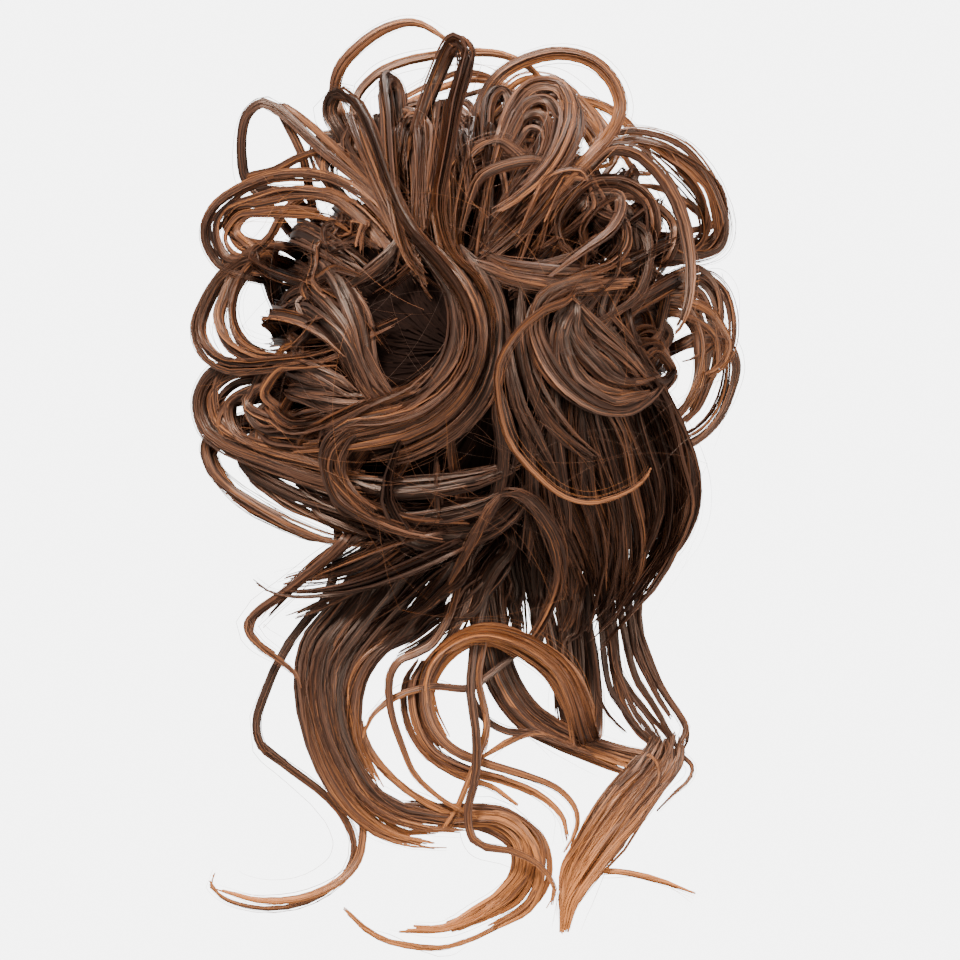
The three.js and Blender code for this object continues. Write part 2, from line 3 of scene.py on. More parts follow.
import bpy
import numpy as np
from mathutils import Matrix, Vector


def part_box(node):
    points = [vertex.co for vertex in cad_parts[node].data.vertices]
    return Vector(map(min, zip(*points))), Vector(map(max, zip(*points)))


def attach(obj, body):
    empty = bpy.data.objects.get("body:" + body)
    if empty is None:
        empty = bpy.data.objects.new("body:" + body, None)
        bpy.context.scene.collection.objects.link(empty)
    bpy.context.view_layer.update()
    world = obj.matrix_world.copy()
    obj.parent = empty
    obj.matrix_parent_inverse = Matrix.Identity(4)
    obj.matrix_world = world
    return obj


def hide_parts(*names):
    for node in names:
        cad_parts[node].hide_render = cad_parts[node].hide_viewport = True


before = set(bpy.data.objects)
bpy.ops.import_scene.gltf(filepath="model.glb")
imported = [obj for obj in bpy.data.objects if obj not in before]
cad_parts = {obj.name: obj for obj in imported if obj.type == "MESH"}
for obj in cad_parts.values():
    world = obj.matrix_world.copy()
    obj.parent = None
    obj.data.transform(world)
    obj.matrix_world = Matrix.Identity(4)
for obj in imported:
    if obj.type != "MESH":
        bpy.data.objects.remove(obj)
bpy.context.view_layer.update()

# The viewpoint: level with the bun's underside, square to the front, through a long lens.
# The photograph's frame is about 317 mm wide at the hair.
camera_data = bpy.data.cameras.new("photo_camera")
camera = bpy.data.objects.new("photo_camera", camera_data)
bpy.context.scene.collection.objects.link(camera)
bpy.context.scene.camera = camera
camera_distance = 3.2
frame_width = 0.3168
frame_middle = (0.00495, -0.025, -0.0429)
camera_data.sensor_width = 36
camera_data.lens = camera_data.sensor_width * camera_distance / frame_width
camera_data.clip_end = 60
camera.location = (frame_middle[0], frame_middle[1] - camera_distance, frame_middle[2])
camera.rotation_euler = (math.radians(90), 0, 0)


# The studio: a white surround that only the camera sees, and large soft lamps round the hair.
# It isn't part of the object.
def mesh_object(name, vertices, faces, uv, material, attributes=()):
    """A smooth mesh from arrays: corners, quads, a texture place per face corner, and numbers per vertex."""
    mesh = bpy.data.meshes.new(name)
    mesh.vertices.add(len(vertices))
    mesh.vertices.foreach_set("co", vertices.astype(np.float32).ravel())
    mesh.loops.add(faces.size)
    mesh.loops.foreach_set("vertex_index", faces.astype(np.int32).ravel())
    mesh.polygons.add(len(faces))
    mesh.polygons.foreach_set("loop_start", np.arange(0, faces.size, 4, dtype=np.int32))
    mesh.polygons.foreach_set("use_smooth", np.ones(len(faces), dtype=bool))
    layer = mesh.uv_layers.new(name="OFBake")
    layer.data.foreach_set("uv", uv.astype(np.float32).ravel())
    for key, values in attributes:
        mesh.attributes.new(key, "FLOAT", "POINT").data.foreach_set("value", values.astype(np.float32))
    mesh.update(calc_edges=True)
    mesh.validate()
    mesh.materials.append(material)
    made = bpy.data.objects.new(name, mesh)
    bpy.context.scene.collection.objects.link(made)
    return made


def grid_faces(rows, columns, closed_rows=False, closed_columns=False):
    """The quads of a grid of rows by columns, and the texture place of each of their corners."""
    i, j = np.meshgrid(np.arange(rows - (not closed_rows)), np.arange(columns - (not closed_columns)),
                       indexing="ij")
    down, right = (i + 1) % rows, (j + 1) % columns
    faces = np.stack([i * columns + j, i * columns + right, down * columns + right, down * columns + j], -1)
    u = np.stack([j, j + 1, j + 1, j], -1) / (columns - (not closed_columns))
    v = np.stack([i, i, i + 1, i + 1], -1) / (rows - (not closed_rows))
    return faces.reshape(-1, 4), np.stack([u, v], -1).reshape(-1, 2)


surround_radius, surround_turns, surround_rings = 9, 48, 24
around, height = np.meshgrid(np.linspace(0, 2 * np.pi, surround_turns, endpoint=False),
                             np.linspace(-np.pi / 2, np.pi / 2, surround_rings), indexing="ij")
surround_points = surround_radius * np.stack([np.cos(around) * np.cos(height),
                                              np.sin(around) * np.cos(height), np.sin(height)], -1)
surround_faces, surround_uv = grid_faces(surround_turns, surround_rings, closed_rows=True)
glow = bpy.data.materials.new("studio_white")
glow.use_nodes = True
glow.node_tree.nodes.clear()
emission = glow.node_tree.nodes.new("ShaderNodeEmission")
emission.inputs["Color"].default_value = (1, 1, 1, 1)
emission.inputs["Strength"].default_value = 6
glow.node_tree.links.new(emission.outputs[0],
                         glow.node_tree.nodes.new("ShaderNodeOutputMaterial").inputs["Surface"])
surround = mesh_object("surround", surround_points.reshape(-1, 3), surround_faces, surround_uv, glow)
surround.visible_diffuse = surround.visible_glossy = surround.visible_transmission = False
surround.visible_shadow = False

world = bpy.data.worlds.new("studio")
bpy.context.scene.world = world
world.use_nodes = True
world.node_tree.nodes["Background"].inputs["Color"].default_value = (1.0, 0.98, 0.96, 1)
world.node_tree.nodes["Background"].inputs["Strength"].default_value = 0.6

lamps_aim = np.array([0, 0, -0.03])
for lamp_name, place, energy, size in [
    ("key", (-0.9, -1.6, 1.5), 116, 0.7),
    ("fill", (1.5, -1.7, 0.1), 44, 1.2),
    ("top", (0.2, 0.7, 1.7), 65, 0.9),
]:
    lamp_data = bpy.data.lights.new(lamp_name, "AREA")
    lamp_data.energy = energy
    lamp_data.size = size
    lamp = bpy.data.objects.new(lamp_name, lamp_data)
    bpy.context.scene.collection.objects.link(lamp)
    lamp.location = place
    aim = lamps_aim - np.array(place)
    tilt = math.acos(-aim[2] / np.linalg.norm(aim))
    lamp.rotation_euler = (tilt, 0, math.atan2(aim[1], aim[0]) - np.pi / 2)


# The elastic band: a round rubber core in a knitted cover, joined into a ring.
# Its ribs run along the ring and cross in a fine braid.
def new_group(name, numbers, results):
    """An empty node group, with a float input for each number and its results as (name, kind)."""
    group = bpy.data.node_groups.new(name, "ShaderNodeTree")
    for socket in numbers:
        group.interface.new_socket(socket, in_out="INPUT", socket_type="NodeSocketFloat")
    for socket, kind in results:
        group.interface.new_socket(socket, in_out="OUTPUT", socket_type="NodeSocket" + kind)
    return group, group.nodes.new("NodeGroupInput").outputs, group.nodes.new("NodeGroupOutput").inputs


def math_node(tree, operation, *values):
    """The result of a math node, each of whose values is a number or another node's output."""
    node = tree.nodes.new("ShaderNodeMath")
    node.operation = operation
    for socket, value in zip(node.inputs, values):
        if isinstance(value, (int, float)):
            socket.default_value = value
        else:
            tree.links.new(value, socket)
    return node.outputs[0]


def texture_place(tree):
    """The two numbers of the piece's own texture place."""
    place, parts = tree.nodes.new("ShaderNodeUVMap"), tree.nodes.new("ShaderNodeSeparateXYZ")
    place.uv_map = "OFBake"
    tree.links.new(place.outputs["UV"], parts.inputs[0])
    return parts.outputs["X"], parts.outputs["Y"]


def put_out_relief(tree, height, strength, height_result, normal_result):
    """Sends a height to a group's results, as it is and as the normal of a bump."""
    bump = tree.nodes.new("ShaderNodeBump")
    bump.inputs["Distance"].default_value = 0.0003
    tree.links.new(strength, bump.inputs["Strength"])
    tree.links.new(height, bump.inputs["Height"])
    tree.links.new(height, height_result)
    tree.links.new(bump.outputs["Normal"], normal_result)


def cloth_weave_group():
    """Threads that cross: sin(2 pi * Across * u) * sin(2 pi * Along * v) over the piece's own texture place,
    which stands up at each crossing, and uneven fuzz on top. Thread is 0 in the gaps and 1 on a thread."""
    group, given, result = new_group("cloth_weave", ("Across", "Along", "Fuzz", "Depth"),
                                     [("Thread", "Float"), ("Normal", "Vector")])
    waves = []
    for place, count in zip(texture_place(group), ("Across", "Along")):
        turns = math_node(group, "MULTIPLY", place, given[count])
        waves.append(math_node(group, "SINE", math_node(group, "MULTIPLY", turns, 2 * math.pi)))
    crossing = math_node(group, "MULTIPLY_ADD", math_node(group, "MULTIPLY", *waves), 0.5, 0.5)
    fuzz, where = group.nodes.new("ShaderNodeTexNoise"), group.nodes.new("ShaderNodeTexCoord")
    fuzz.inputs["Scale"].default_value = 900
    fuzz.inputs["Detail"].default_value = 3
    group.links.new(where.outputs["Object"], fuzz.inputs["Vector"])
    centred = math_node(group, "SUBTRACT", fuzz.outputs["Fac"], 0.5)
    thread = math_node(group, "ADD", crossing, math_node(group, "MULTIPLY", centred, given["Fuzz"]))
    put_out_relief(group, thread, given["Depth"], result["Thread"], result["Normal"])
    return group


cloth_weave = cloth_weave_group()


def cloth_material(name, gap_shade_color, thread_color, across, along, roughness):
    """Cloth: dark in the gaps of its weave, which is painted shade, and light on its threads, which are the
    smoother part.
    """
    material = bpy.data.materials.new(name)
    material.use_nodes = True
    nodes, links = material.node_tree.nodes, material.node_tree.links
    shader = nodes["Principled BSDF"]
    weave = nodes.new("ShaderNodeGroup")
    weave.node_tree = cloth_weave
    for socket, value in (("Across", across), ("Along", along), ("Fuzz", 0.9), ("Depth", 0.8)):
        weave.inputs[socket].default_value = value
    # The weave's gaps get the darker colour: painted shade in the hollows between threads.
    color, shine = nodes.new("ShaderNodeValToRGB"), nodes.new("ShaderNodeMapRange")
    for element, stop in zip(color.color_ramp.elements, (gap_shade_color, thread_color)):
        element.color = (*stop, 1)
    shine.inputs["To Min"].default_value = roughness + 0.12
    shine.inputs["To Max"].default_value = roughness
    for node, target in ((color, "Base Color"), (shine, "Roughness")):
        links.new(weave.outputs["Thread"], node.inputs[0])
        links.new(node.outputs[0], shader.inputs[target])
    links.new(weave.outputs["Normal"], shader.inputs["Normal"])
    return material


def ring_angles(turns, sides):
    """The grid of angles of a ring: t round it, and s round its section."""
    return np.meshgrid(np.linspace(0, 2 * np.pi, turns, endpoint=False),
                       np.linspace(0, 2 * np.pi, sides, endpoint=False), indexing="ij")


def ring_points(turns, sides, centre, reach_at):
    """A ring round Y: a point at angle t round it and s round its section lies at centre + reach * cos s
    from the axis and reach * sin s along it, with reach a function of t and s."""
    t, s = ring_angles(turns, sides)
    reach = reach_at(t, s)
    away = centre + reach * np.cos(s)
    return np.stack([away * np.cos(t), reach * np.sin(s), away * np.sin(t)], -1).reshape(-1, 3)


band_low, band_high = (np.array(corner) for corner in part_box("elastic_band"))
band_reach = (band_high[1] - band_low[1]) / 2
band_centre = band_high[0] - band_reach
band_turns, band_sides = 240, 28
knit_height = 0.00022
knit_ribs, knit_slant = 60, 3
band_points = ring_points(
    band_turns, band_sides, band_centre,
    lambda t, s: band_reach - knit_height * (1 + np.sin(knit_ribs * t + knit_slant * s)
                                             * np.sin(knit_ribs * t - knit_slant * s)))
band_faces, band_uv = grid_faces(band_turns, band_sides, closed_rows=True, closed_columns=True)
band = mesh_object("elastic_ring", band_points, band_faces, band_uv,
                   cloth_material("knitted_cover", (0.008, 0.0065, 0.006), (0.034, 0.027, 0.023),
                                  across=28, along=240, roughness=0.74))
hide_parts("elastic_band")
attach(band, "root")


# The binding: a woven tape round the elastic that the rows of hair are machine-stitched to.
# Its edges are rolled and its stitches stand up as short slanted ridges.
binding_low, binding_high = (np.array(corner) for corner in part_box("weft_binding"))
binding_half = (binding_high[1] - binding_low[1]) / 2
binding_outer = binding_high[0]
binding_thickness = 0.002
binding_turns, binding_sides = 360, 24
corner_power = 0.35
stitch_height = 0.00025
stitches, stitch_slant = 70, 2


def sleeve_points(turns, sides, outer, thickness, half):
    """A sleeve round Y: its section is a flat ring of rounded corners, from a circle pushed towards a
    square by a power, and its outer face rises where a slanted wave of stitches crosses it."""
    t, s = ring_angles(turns, sides)
    across = np.sign(np.cos(s)) * np.abs(np.cos(s)) ** corner_power
    along = np.sign(np.sin(s)) * np.abs(np.sin(s)) ** corner_power
    stitch = stitch_height * np.maximum(0, np.sin(stitches * t + stitch_slant * along)) * (across > 0.5)
    away = outer - thickness / 2 + (thickness / 2 - stitch_height) * across + stitch
    return np.stack([away * np.cos(t), half * along, away * np.sin(t)], -1).reshape(-1, 3)


binding_points = sleeve_points(binding_turns, binding_sides, binding_outer, binding_thickness, binding_half)
binding_faces, binding_uv = grid_faces(binding_turns, binding_sides, closed_rows=True, closed_columns=True)
binding = mesh_object("binding_tape", binding_points, binding_faces, binding_uv,
                      cloth_material("woven_tape", (0.014, 0.009, 0.007), (0.058, 0.036, 0.026),
                                     across=30, along=280, roughness=0.8))
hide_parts("weft_binding")
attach(binding, "root")


# The dense hair: short curled strands, teased and matted into a dome that swirls round its front.
# It is sewn to the binding's front edge and is hollow at the back for the wearer's own hair.
def hair_colour_group():
    """Hair colour on a ramp from 0, a dark root, to 1, a copper tip, read at
    Warmth + (Strand - 0.5) * Contrast, where Strand is the strand's own tone. The ramp's dark end also
    serves as painted shade, where warmth is set low deep in the hair."""
    group, given, result = new_group("hair_colour", ("Warmth", "Strand", "Contrast"), [("Color", "Color")])
    own = math_node(group, "SUBTRACT", given["Strand"], 0.5)
    shift = math_node(group, "MULTIPLY_ADD", own, given["Contrast"], given["Warmth"])
    ramp = group.nodes.new("ShaderNodeValToRGB")
    group.links.new(shift, ramp.inputs["Fac"])
    stops = [
        (0.0, (0.012, 0.006, 0.0045)),
        (0.25, (0.038, 0.017, 0.0105)),
        (0.5, (0.11, 0.045, 0.025)),
        (0.75, (0.29, 0.103, 0.037)),
        (1.0, (0.58, 0.20, 0.056)),
    ]
    elements = ramp.color_ramp.elements
    while len(elements) < len(stops):
        elements.new(0.5)
    for element, (position, color) in zip(elements, stops):
        element.position = position
        element.color = (*color, 1)
    group.links.new(ramp.outputs["Color"], result["Color"])
    return group


def fibre_group():
    """Fine fibres along each strand: 2D noise at (u * Columns * Fibres, v * 3), which is short across a
    strand's column in its texture and long along it. Columns is how many strands the texture holds."""
    group, given, result = new_group("hair_fibres", ("Columns", "Fibres", "Depth"),
                                     [("Fibre", "Float"), ("Normal", "Vector")])
    u, v = texture_place(group)
    across = math_node(group, "MULTIPLY", u, math_node(group, "MULTIPLY", given["Columns"], given["Fibres"]))
    joined, noise = group.nodes.new("ShaderNodeCombineXYZ"), group.nodes.new("ShaderNodeTexNoise")
    group.links.new(across, joined.inputs["X"])
    group.links.new(math_node(group, "MULTIPLY", v, 3), joined.inputs["Y"])
    noise.noise_dimensions = "2D"
    noise.inputs["Scale"].default_value = 1
    noise.inputs["Detail"].default_value = 2
    group.links.new(joined.outputs[0], noise.inputs["Vector"])
    put_out_relief(group, noise.outputs["Fac"], given["Depth"], result["Fibre"], result["Normal"])
    return group


hair_colour, hair_fibres = hair_colour_group(), fibre_group()


def hair_material(name, columns, contrast, roughness, gloss):
    """Glossy synthetic hair. Its colour follows the warmth and strand numbers stored on the mesh, and its
    fibres, whose noise shifts the strand's number by fibre_spread * (noise - 0.5)."""
    fibre_spread = 2.6
    material = bpy.data.materials.new(name)
    material.use_nodes = True
    tree = material.node_tree
    shader = tree.nodes["Principled BSDF"]
    colour, fibres = tree.nodes.new("ShaderNodeGroup"), tree.nodes.new("ShaderNodeGroup")
    colour.node_tree, fibres.node_tree = hair_colour, hair_fibres
    colour.inputs["Contrast"].default_value = contrast
    for socket, value in (("Columns", columns), ("Fibres", 3.5), ("Depth", 0.6)):
        fibres.inputs[socket].default_value = value
    warmth, strand = tree.nodes.new("ShaderNodeAttribute"), tree.nodes.new("ShaderNodeAttribute")
    warmth.attribute_name, strand.attribute_name = "warmth", "strand"
    tree.links.new(warmth.outputs["Fac"], colour.inputs["Warmth"])
    shifted = math_node(tree, "MULTIPLY_ADD", fibres.outputs["Fibre"], fibre_spread, strand.outputs["Fac"])
    tree.links.new(math_node(tree, "SUBTRACT", shifted, fibre_spread / 2), colour.inputs["Strand"])
    tree.links.new(colour.outputs["Color"], shader.inputs["Base Color"])
    tree.links.new(fibres.outputs["Normal"], shader.inputs["Normal"])
    shader.inputs["Roughness"].default_value = roughness
    shader.inputs["Specular IOR Level"].default_value = gloss
    shader.inputs["Specular Tint"].default_value = (1.0, 0.72, 0.56, 1)
    return material


core_low, core_high = (np.array(corner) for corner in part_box("bun_core"))
core_radius = -core_low[0]
core_base = -core_high[1]
core_height = core_high[1] - core_low[1]
# the model's own sizes, in millimetres
model_bun, model_core, model_height, model_rim = 90, 58, 44, 9
core_rim = core_height * model_rim / model_height
bun_radius = core_radius * model_bun / model_core
thin_share, thin_side = 0.15, 0.3
hollow_radius, hollow_depth = band_centre - band_reach, 0.024


def dome_front(distance, radius, rim, fullness):
    """How far a dome stands in front of the band: its rim, and a bulge that falls off as a power."""
    bulge = np.maximum(0, 1 - (distance / radius) ** fullness)
    return core_base + rim + (core_height - rim) * bulge


def core_reach(turn):
    """The dense hair's radius at an angle from +X towards +Z, less on its thin side."""
    return core_radius * (1 - thin_share * np.maximum(0, np.cos(turn - thin_side)) ** 2)


def core_front(x, z):
    """How far the dense hair stands in front of the band at a place."""
    return dome_front(np.hypot(x, z), core_reach(np.arctan2(z, x)), core_rim, 3)


def ribbons(lines, outward, widths):
    """Flat strands: each line of points gets two edges, half a width either side of it, at right angles
    to its run and to the outward direction."""
    run = np.gradient(lines, axis=1)
    side = np.cross(run, outward)
    side /= np.linalg.norm(side, axis=-1, keepdims=True) + 1e-12
    half = side * widths[..., None] / 2
    return np.stack([lines - half, lines + half], 2)


class Hair:
    """Strands and lock bodies gathered for one piece, until they become one mesh."""

    def __init__(self):
        self.sheets = []

    def add(self, points, warmth, strand, closed, share=1):
        """points is strands x steps x corners x 3, warmth strands x steps, and strand one number each.
        share is how many columns of the texture each of them takes."""
        self.sheets.append((points, warmth, strand, closed, share))

    def build(self, name, contrast, roughness, gloss):
        """One mesh of every strand, each with a column of its own in the texture."""
        columns = sum(len(points) * share for points, *_, share in self.sheets)
        vertices, faces, places, warm, own = [], [], [], [], []
        start = column = 0
        for points, warmth, strand, closed, share in self.sheets:
            count, steps, corners, _ = points.shape
            quads, uv = grid_faces(steps, corners, closed_columns=closed)
            offsets = start + np.arange(count) * steps * corners
            vertices.append(points.reshape(-1, 3))
            faces.append((quads[None] + offsets[:, None, None]).reshape(-1, 4))
            u = (column + share * (np.arange(count)[:, None] + 0.05 + 0.9 * uv[None, :, 0])) / columns
            places.append(np.stack([u, np.broadcast_to(uv[None, :, 1], u.shape)], -1).reshape(-1, 2))
            warm.append(np.broadcast_to(warmth[:, :, None], (count, steps, corners)).ravel())
            own.append(np.broadcast_to(strand.reshape(count, 1, -1), (count, steps, corners)).ravel())
            start += count * steps * corners
            column += count * share
        material = hair_material(name + "_fibre", columns, contrast, roughness, gloss)
        return mesh_object(name, np.concatenate(vertices), np.concatenate(faces), np.concatenate(places),
                           material, [("warmth", np.concatenate(warm)), ("strand", np.concatenate(own))])


core_turns, core_rings = 240, 40
core_lobes, core_twist = 10, 5
furrow_depth = 0.004


def furrow(turn, share):
    """How deep a furrow is at an angle and a share of the way out: a wave of turn * lobes + twist * share,
    so that the furrows swirl, and deeper towards the rim."""
    return furrow_depth * (0.5 - 0.5 * np.cos(core_lobes * turn + core_twist * share)) * share


def core_surface():
    """The hollow dome: its profile runs from the front's centre to the rim, round it, and into the pocket."""
    turn = np.linspace(0, 2 * np.pi, core_turns, endpoint=False)[:, None]
    share = np.concatenate([np.linspace(0.001, 1, core_rings), np.ones(3), np.linspace(0.9, 0.5, 4)])[None]
    away = share * core_reach(turn)
    front = core_front(away * np.cos(turn), away * np.sin(turn)) - furrow(turn, share)
    front[:, core_rings:core_rings + 3] = core_base + core_rim * np.array([0.6, 0.3, 0.0])
    front[:, core_rings + 3:] = core_base
    pocket = np.linspace(0, np.pi / 2, 10)[None]
    inner = hollow_radius * np.cos(pocket) + 0 * turn
    deep = core_base + hollow_depth * np.sin(pocket) + 0 * turn
    away, front = np.concatenate([away, inner], 1), np.concatenate([front, deep], 1)
    return np.stack([away * np.cos(turn), -front, away * np.sin(turn)], -1)


rng = np.random.default_rng(11)
core_hair = Hair()
core_points = core_surface()
# The dome's surface gets a warmth below any lock's, the ramp's darkest colour: painted shade in the bun's
# hollow under the locks.
core_hair.add(core_points[None], np.full((1, core_turns), -0.4), rng.random((1, core_points.shape[1])),
              False, 60)
matted, matted_steps, matted_width = 800, 26, 0.0006
first = rng.random((matted, 1)) * 2 * np.pi
begin = rng.random((matted, 1)) * 0.5
share = begin + (1.02 - begin) * np.linspace(0.02, 1.0, matted_steps)[None]
lean = core_twist / core_lobes + rng.normal(0, 0.25, (matted, 1))
turn = first - lean * share + 0.05 * np.sin(9 * share + 7 * first)
away = share * core_reach(turn)
lift = 0.0004 + rng.random((matted, 1)) * 0.0016
front = core_front(away * np.cos(turn), away * np.sin(turn)) - furrow(turn, share) + lift
front = np.where(share > 0.985, front - (share - 0.985) * 0.12, front)
core_lines = np.stack([away * np.cos(turn), -front, away * np.sin(turn)], -1)
outward = np.stack([0.5 * np.cos(turn), -np.ones_like(turn), 0.5 * np.sin(turn)], -1)
tone = rng.random(matted)
# The matted strands are darker towards the middle and lighter to the rim: painted shade deep in the bun.
core_hair.add(ribbons(core_lines, outward, np.full(core_lines.shape[:2], matted_width)),
              -0.12 + 0.1 * share, tone, False)
core = core_hair.build("dense_hair", 0.3, 0.7, 0.06)
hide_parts("bun_core")
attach(core, "root")


# The swirls: locks sewn to the dense hair that coil round a dark hollow and cross the bun's front, and
# single hairs that have come out of the curls.
clearance = 0.0004
row_middle = 0.0019
row_width = binding_half - clearance
row_depth = {"front": -(row_width + clearance) / 2, "back": (row_width + clearance) / 2}
row_radius = binding_outer + row_middle
percent = 0.01
line_points, curve_points = 240, 24
fewest_steps, most_steps = 7, 48
step_length, step_bend, thin_step_bend = 0.028, 0.22, 0.17
golden_share = 0.381966
strand_kinds = [
    # kind, how many to a wisp, width, how far apart, how unruly
    ("broad", 4.4, 0.0013, 0.85, 0.35),
    ("fine", 2.6, 0.00024, 1.3, 1.4),
    ("stray", 0.6, 0.00016, 1.2, 3.5),
]
body_sides, body_share = 6, 0.68
loose_contrast, loose_roughness, loose_gloss = 0.6, 0.36, 0.45


def line_through(stations, count):
    """A centripetal Catmull-Rom line: between two stations it is the cubic whose slopes weigh the chords
    by the root of their lengths. It is then read at even steps of its own length."""
    points = np.array(stations)
    points = np.concatenate([[2 * points[0] - points[1]], points, [2 * points[-1] - points[-2]]])
    a, b, c, d = points[:-3], points[1:-2], points[2:-1], points[3:]
    before, here, after = (np.sqrt(np.linalg.norm(q - p, axis=1))[:, None] + 1e-9
                           for p, q in ((a, b), (b, c), (c, d)))
    leave = ((b - a) / before - (c - a) / (before + here) + (c - b) / here) * here
    arrive = ((c - b) / here - (d - b) / (here + after) + (d - c) / after) * here
    t = np.linspace(0, 1, curve_points, endpoint=False)[None, :, None]
    b, c, leave, arrive = (value[:, None] for value in (b, c, leave, arrive))
    line = ((2 * t ** 3 - 3 * t ** 2 + 1) * b + (t ** 3 - 2 * t ** 2 + t) * leave
            + (3 * t ** 2 - 2 * t ** 3) * c + (t ** 3 - t ** 2) * arrive).reshape(-1, 3)
    line = np.concatenate([line, points[-2:-1]])
    run = np.concatenate([[0], np.cumsum(np.linalg.norm(np.diff(line, axis=0), axis=1))])
    even = np.linspace(0, run[-1], count)
    return np.stack([np.interp(even, run, line[:, k]) for k in range(3)], 1), run[-1]


def lock_line(root, widths, stations, row, hangs):
    """A lock's middle line, with the directions across it and out of it, its half width and its half
    thickness: out of its row along the radius, through its stations, and in front of the dense hair.
    Without a root it has only its stations."""
    x, z, lift = (np.array(stations, float) * percent * bun_radius).T
    ground = core_base if hangs else dome_front(np.hypot(x, z), bun_radius, core_rim / 3, 2)
    places = np.stack([x, -ground - lift, z], 1)
    edge = 0
    if root is not None:
        angle = math.radians(root)
        out = np.array([math.cos(angle), 0, math.sin(angle)])
        depth = np.array([0, row_depth[row], 0])
        edge = core_radius + widths[0] * percent * bun_radius - row_radius
        places = np.concatenate([[out * row_radius + depth, out * (edge + row_radius) + depth], places])
    line, length = line_through(places, line_points)
    share = np.linspace(0, 1, line_points)
    half = np.interp(share, [0, 0.5, 1], widths) * percent * bun_radius / 2
    thick = np.clip(half * 0.5, 0.0009, row_width / 2)
    under = share * length < edge
    inside = np.hypot(line[:, 0], line[:, 2]) < core_reach(np.arctan2(line[:, 2], line[:, 0]))
    least = core_front(line[:, 0], line[:, 2]) + thick
    y = np.where(under, row_depth[row], np.where(inside, np.minimum(line[:, 1], -least), line[:, 1]))
    smooth = np.convolve(np.pad(y, 4, mode="edge"), np.ones(9) / 9, "valid")
    line[:, 1] = np.where(under, row_depth[row], smooth)
    run = np.gradient(line, axis=0)
    run /= np.linalg.norm(run, axis=1, keepdims=True)
    facing = np.zeros_like(line)
    now = np.array([0, -1.0, 0])
    for i in range(line_points):
        now = now - run[i] * (now @ run[i])
        now /= np.linalg.norm(now)
        facing[i] = now
    return line, np.cross(facing, run), facing, half, thick, length


def step_places(line, length, breadth):
    """Where along its line, from 0 to 1, a lock has its steps. A step takes up a set length or a set bend,
    so that they are close together where the lock curls."""
    turning = np.linalg.norm(np.diff(np.gradient(line, axis=0), axis=0), axis=1) * len(line) / length
    bend = thin_step_bend if breadth < 3 else step_bend
    spent = np.concatenate([[0], np.cumsum(turning / bend + length / len(line) / step_length)])
    steps = int(np.clip(spent[-1], fewest_steps, most_steps))
    return np.interp(np.linspace(0, spent[-1], steps), spent, np.linspace(0, 1, len(line)))


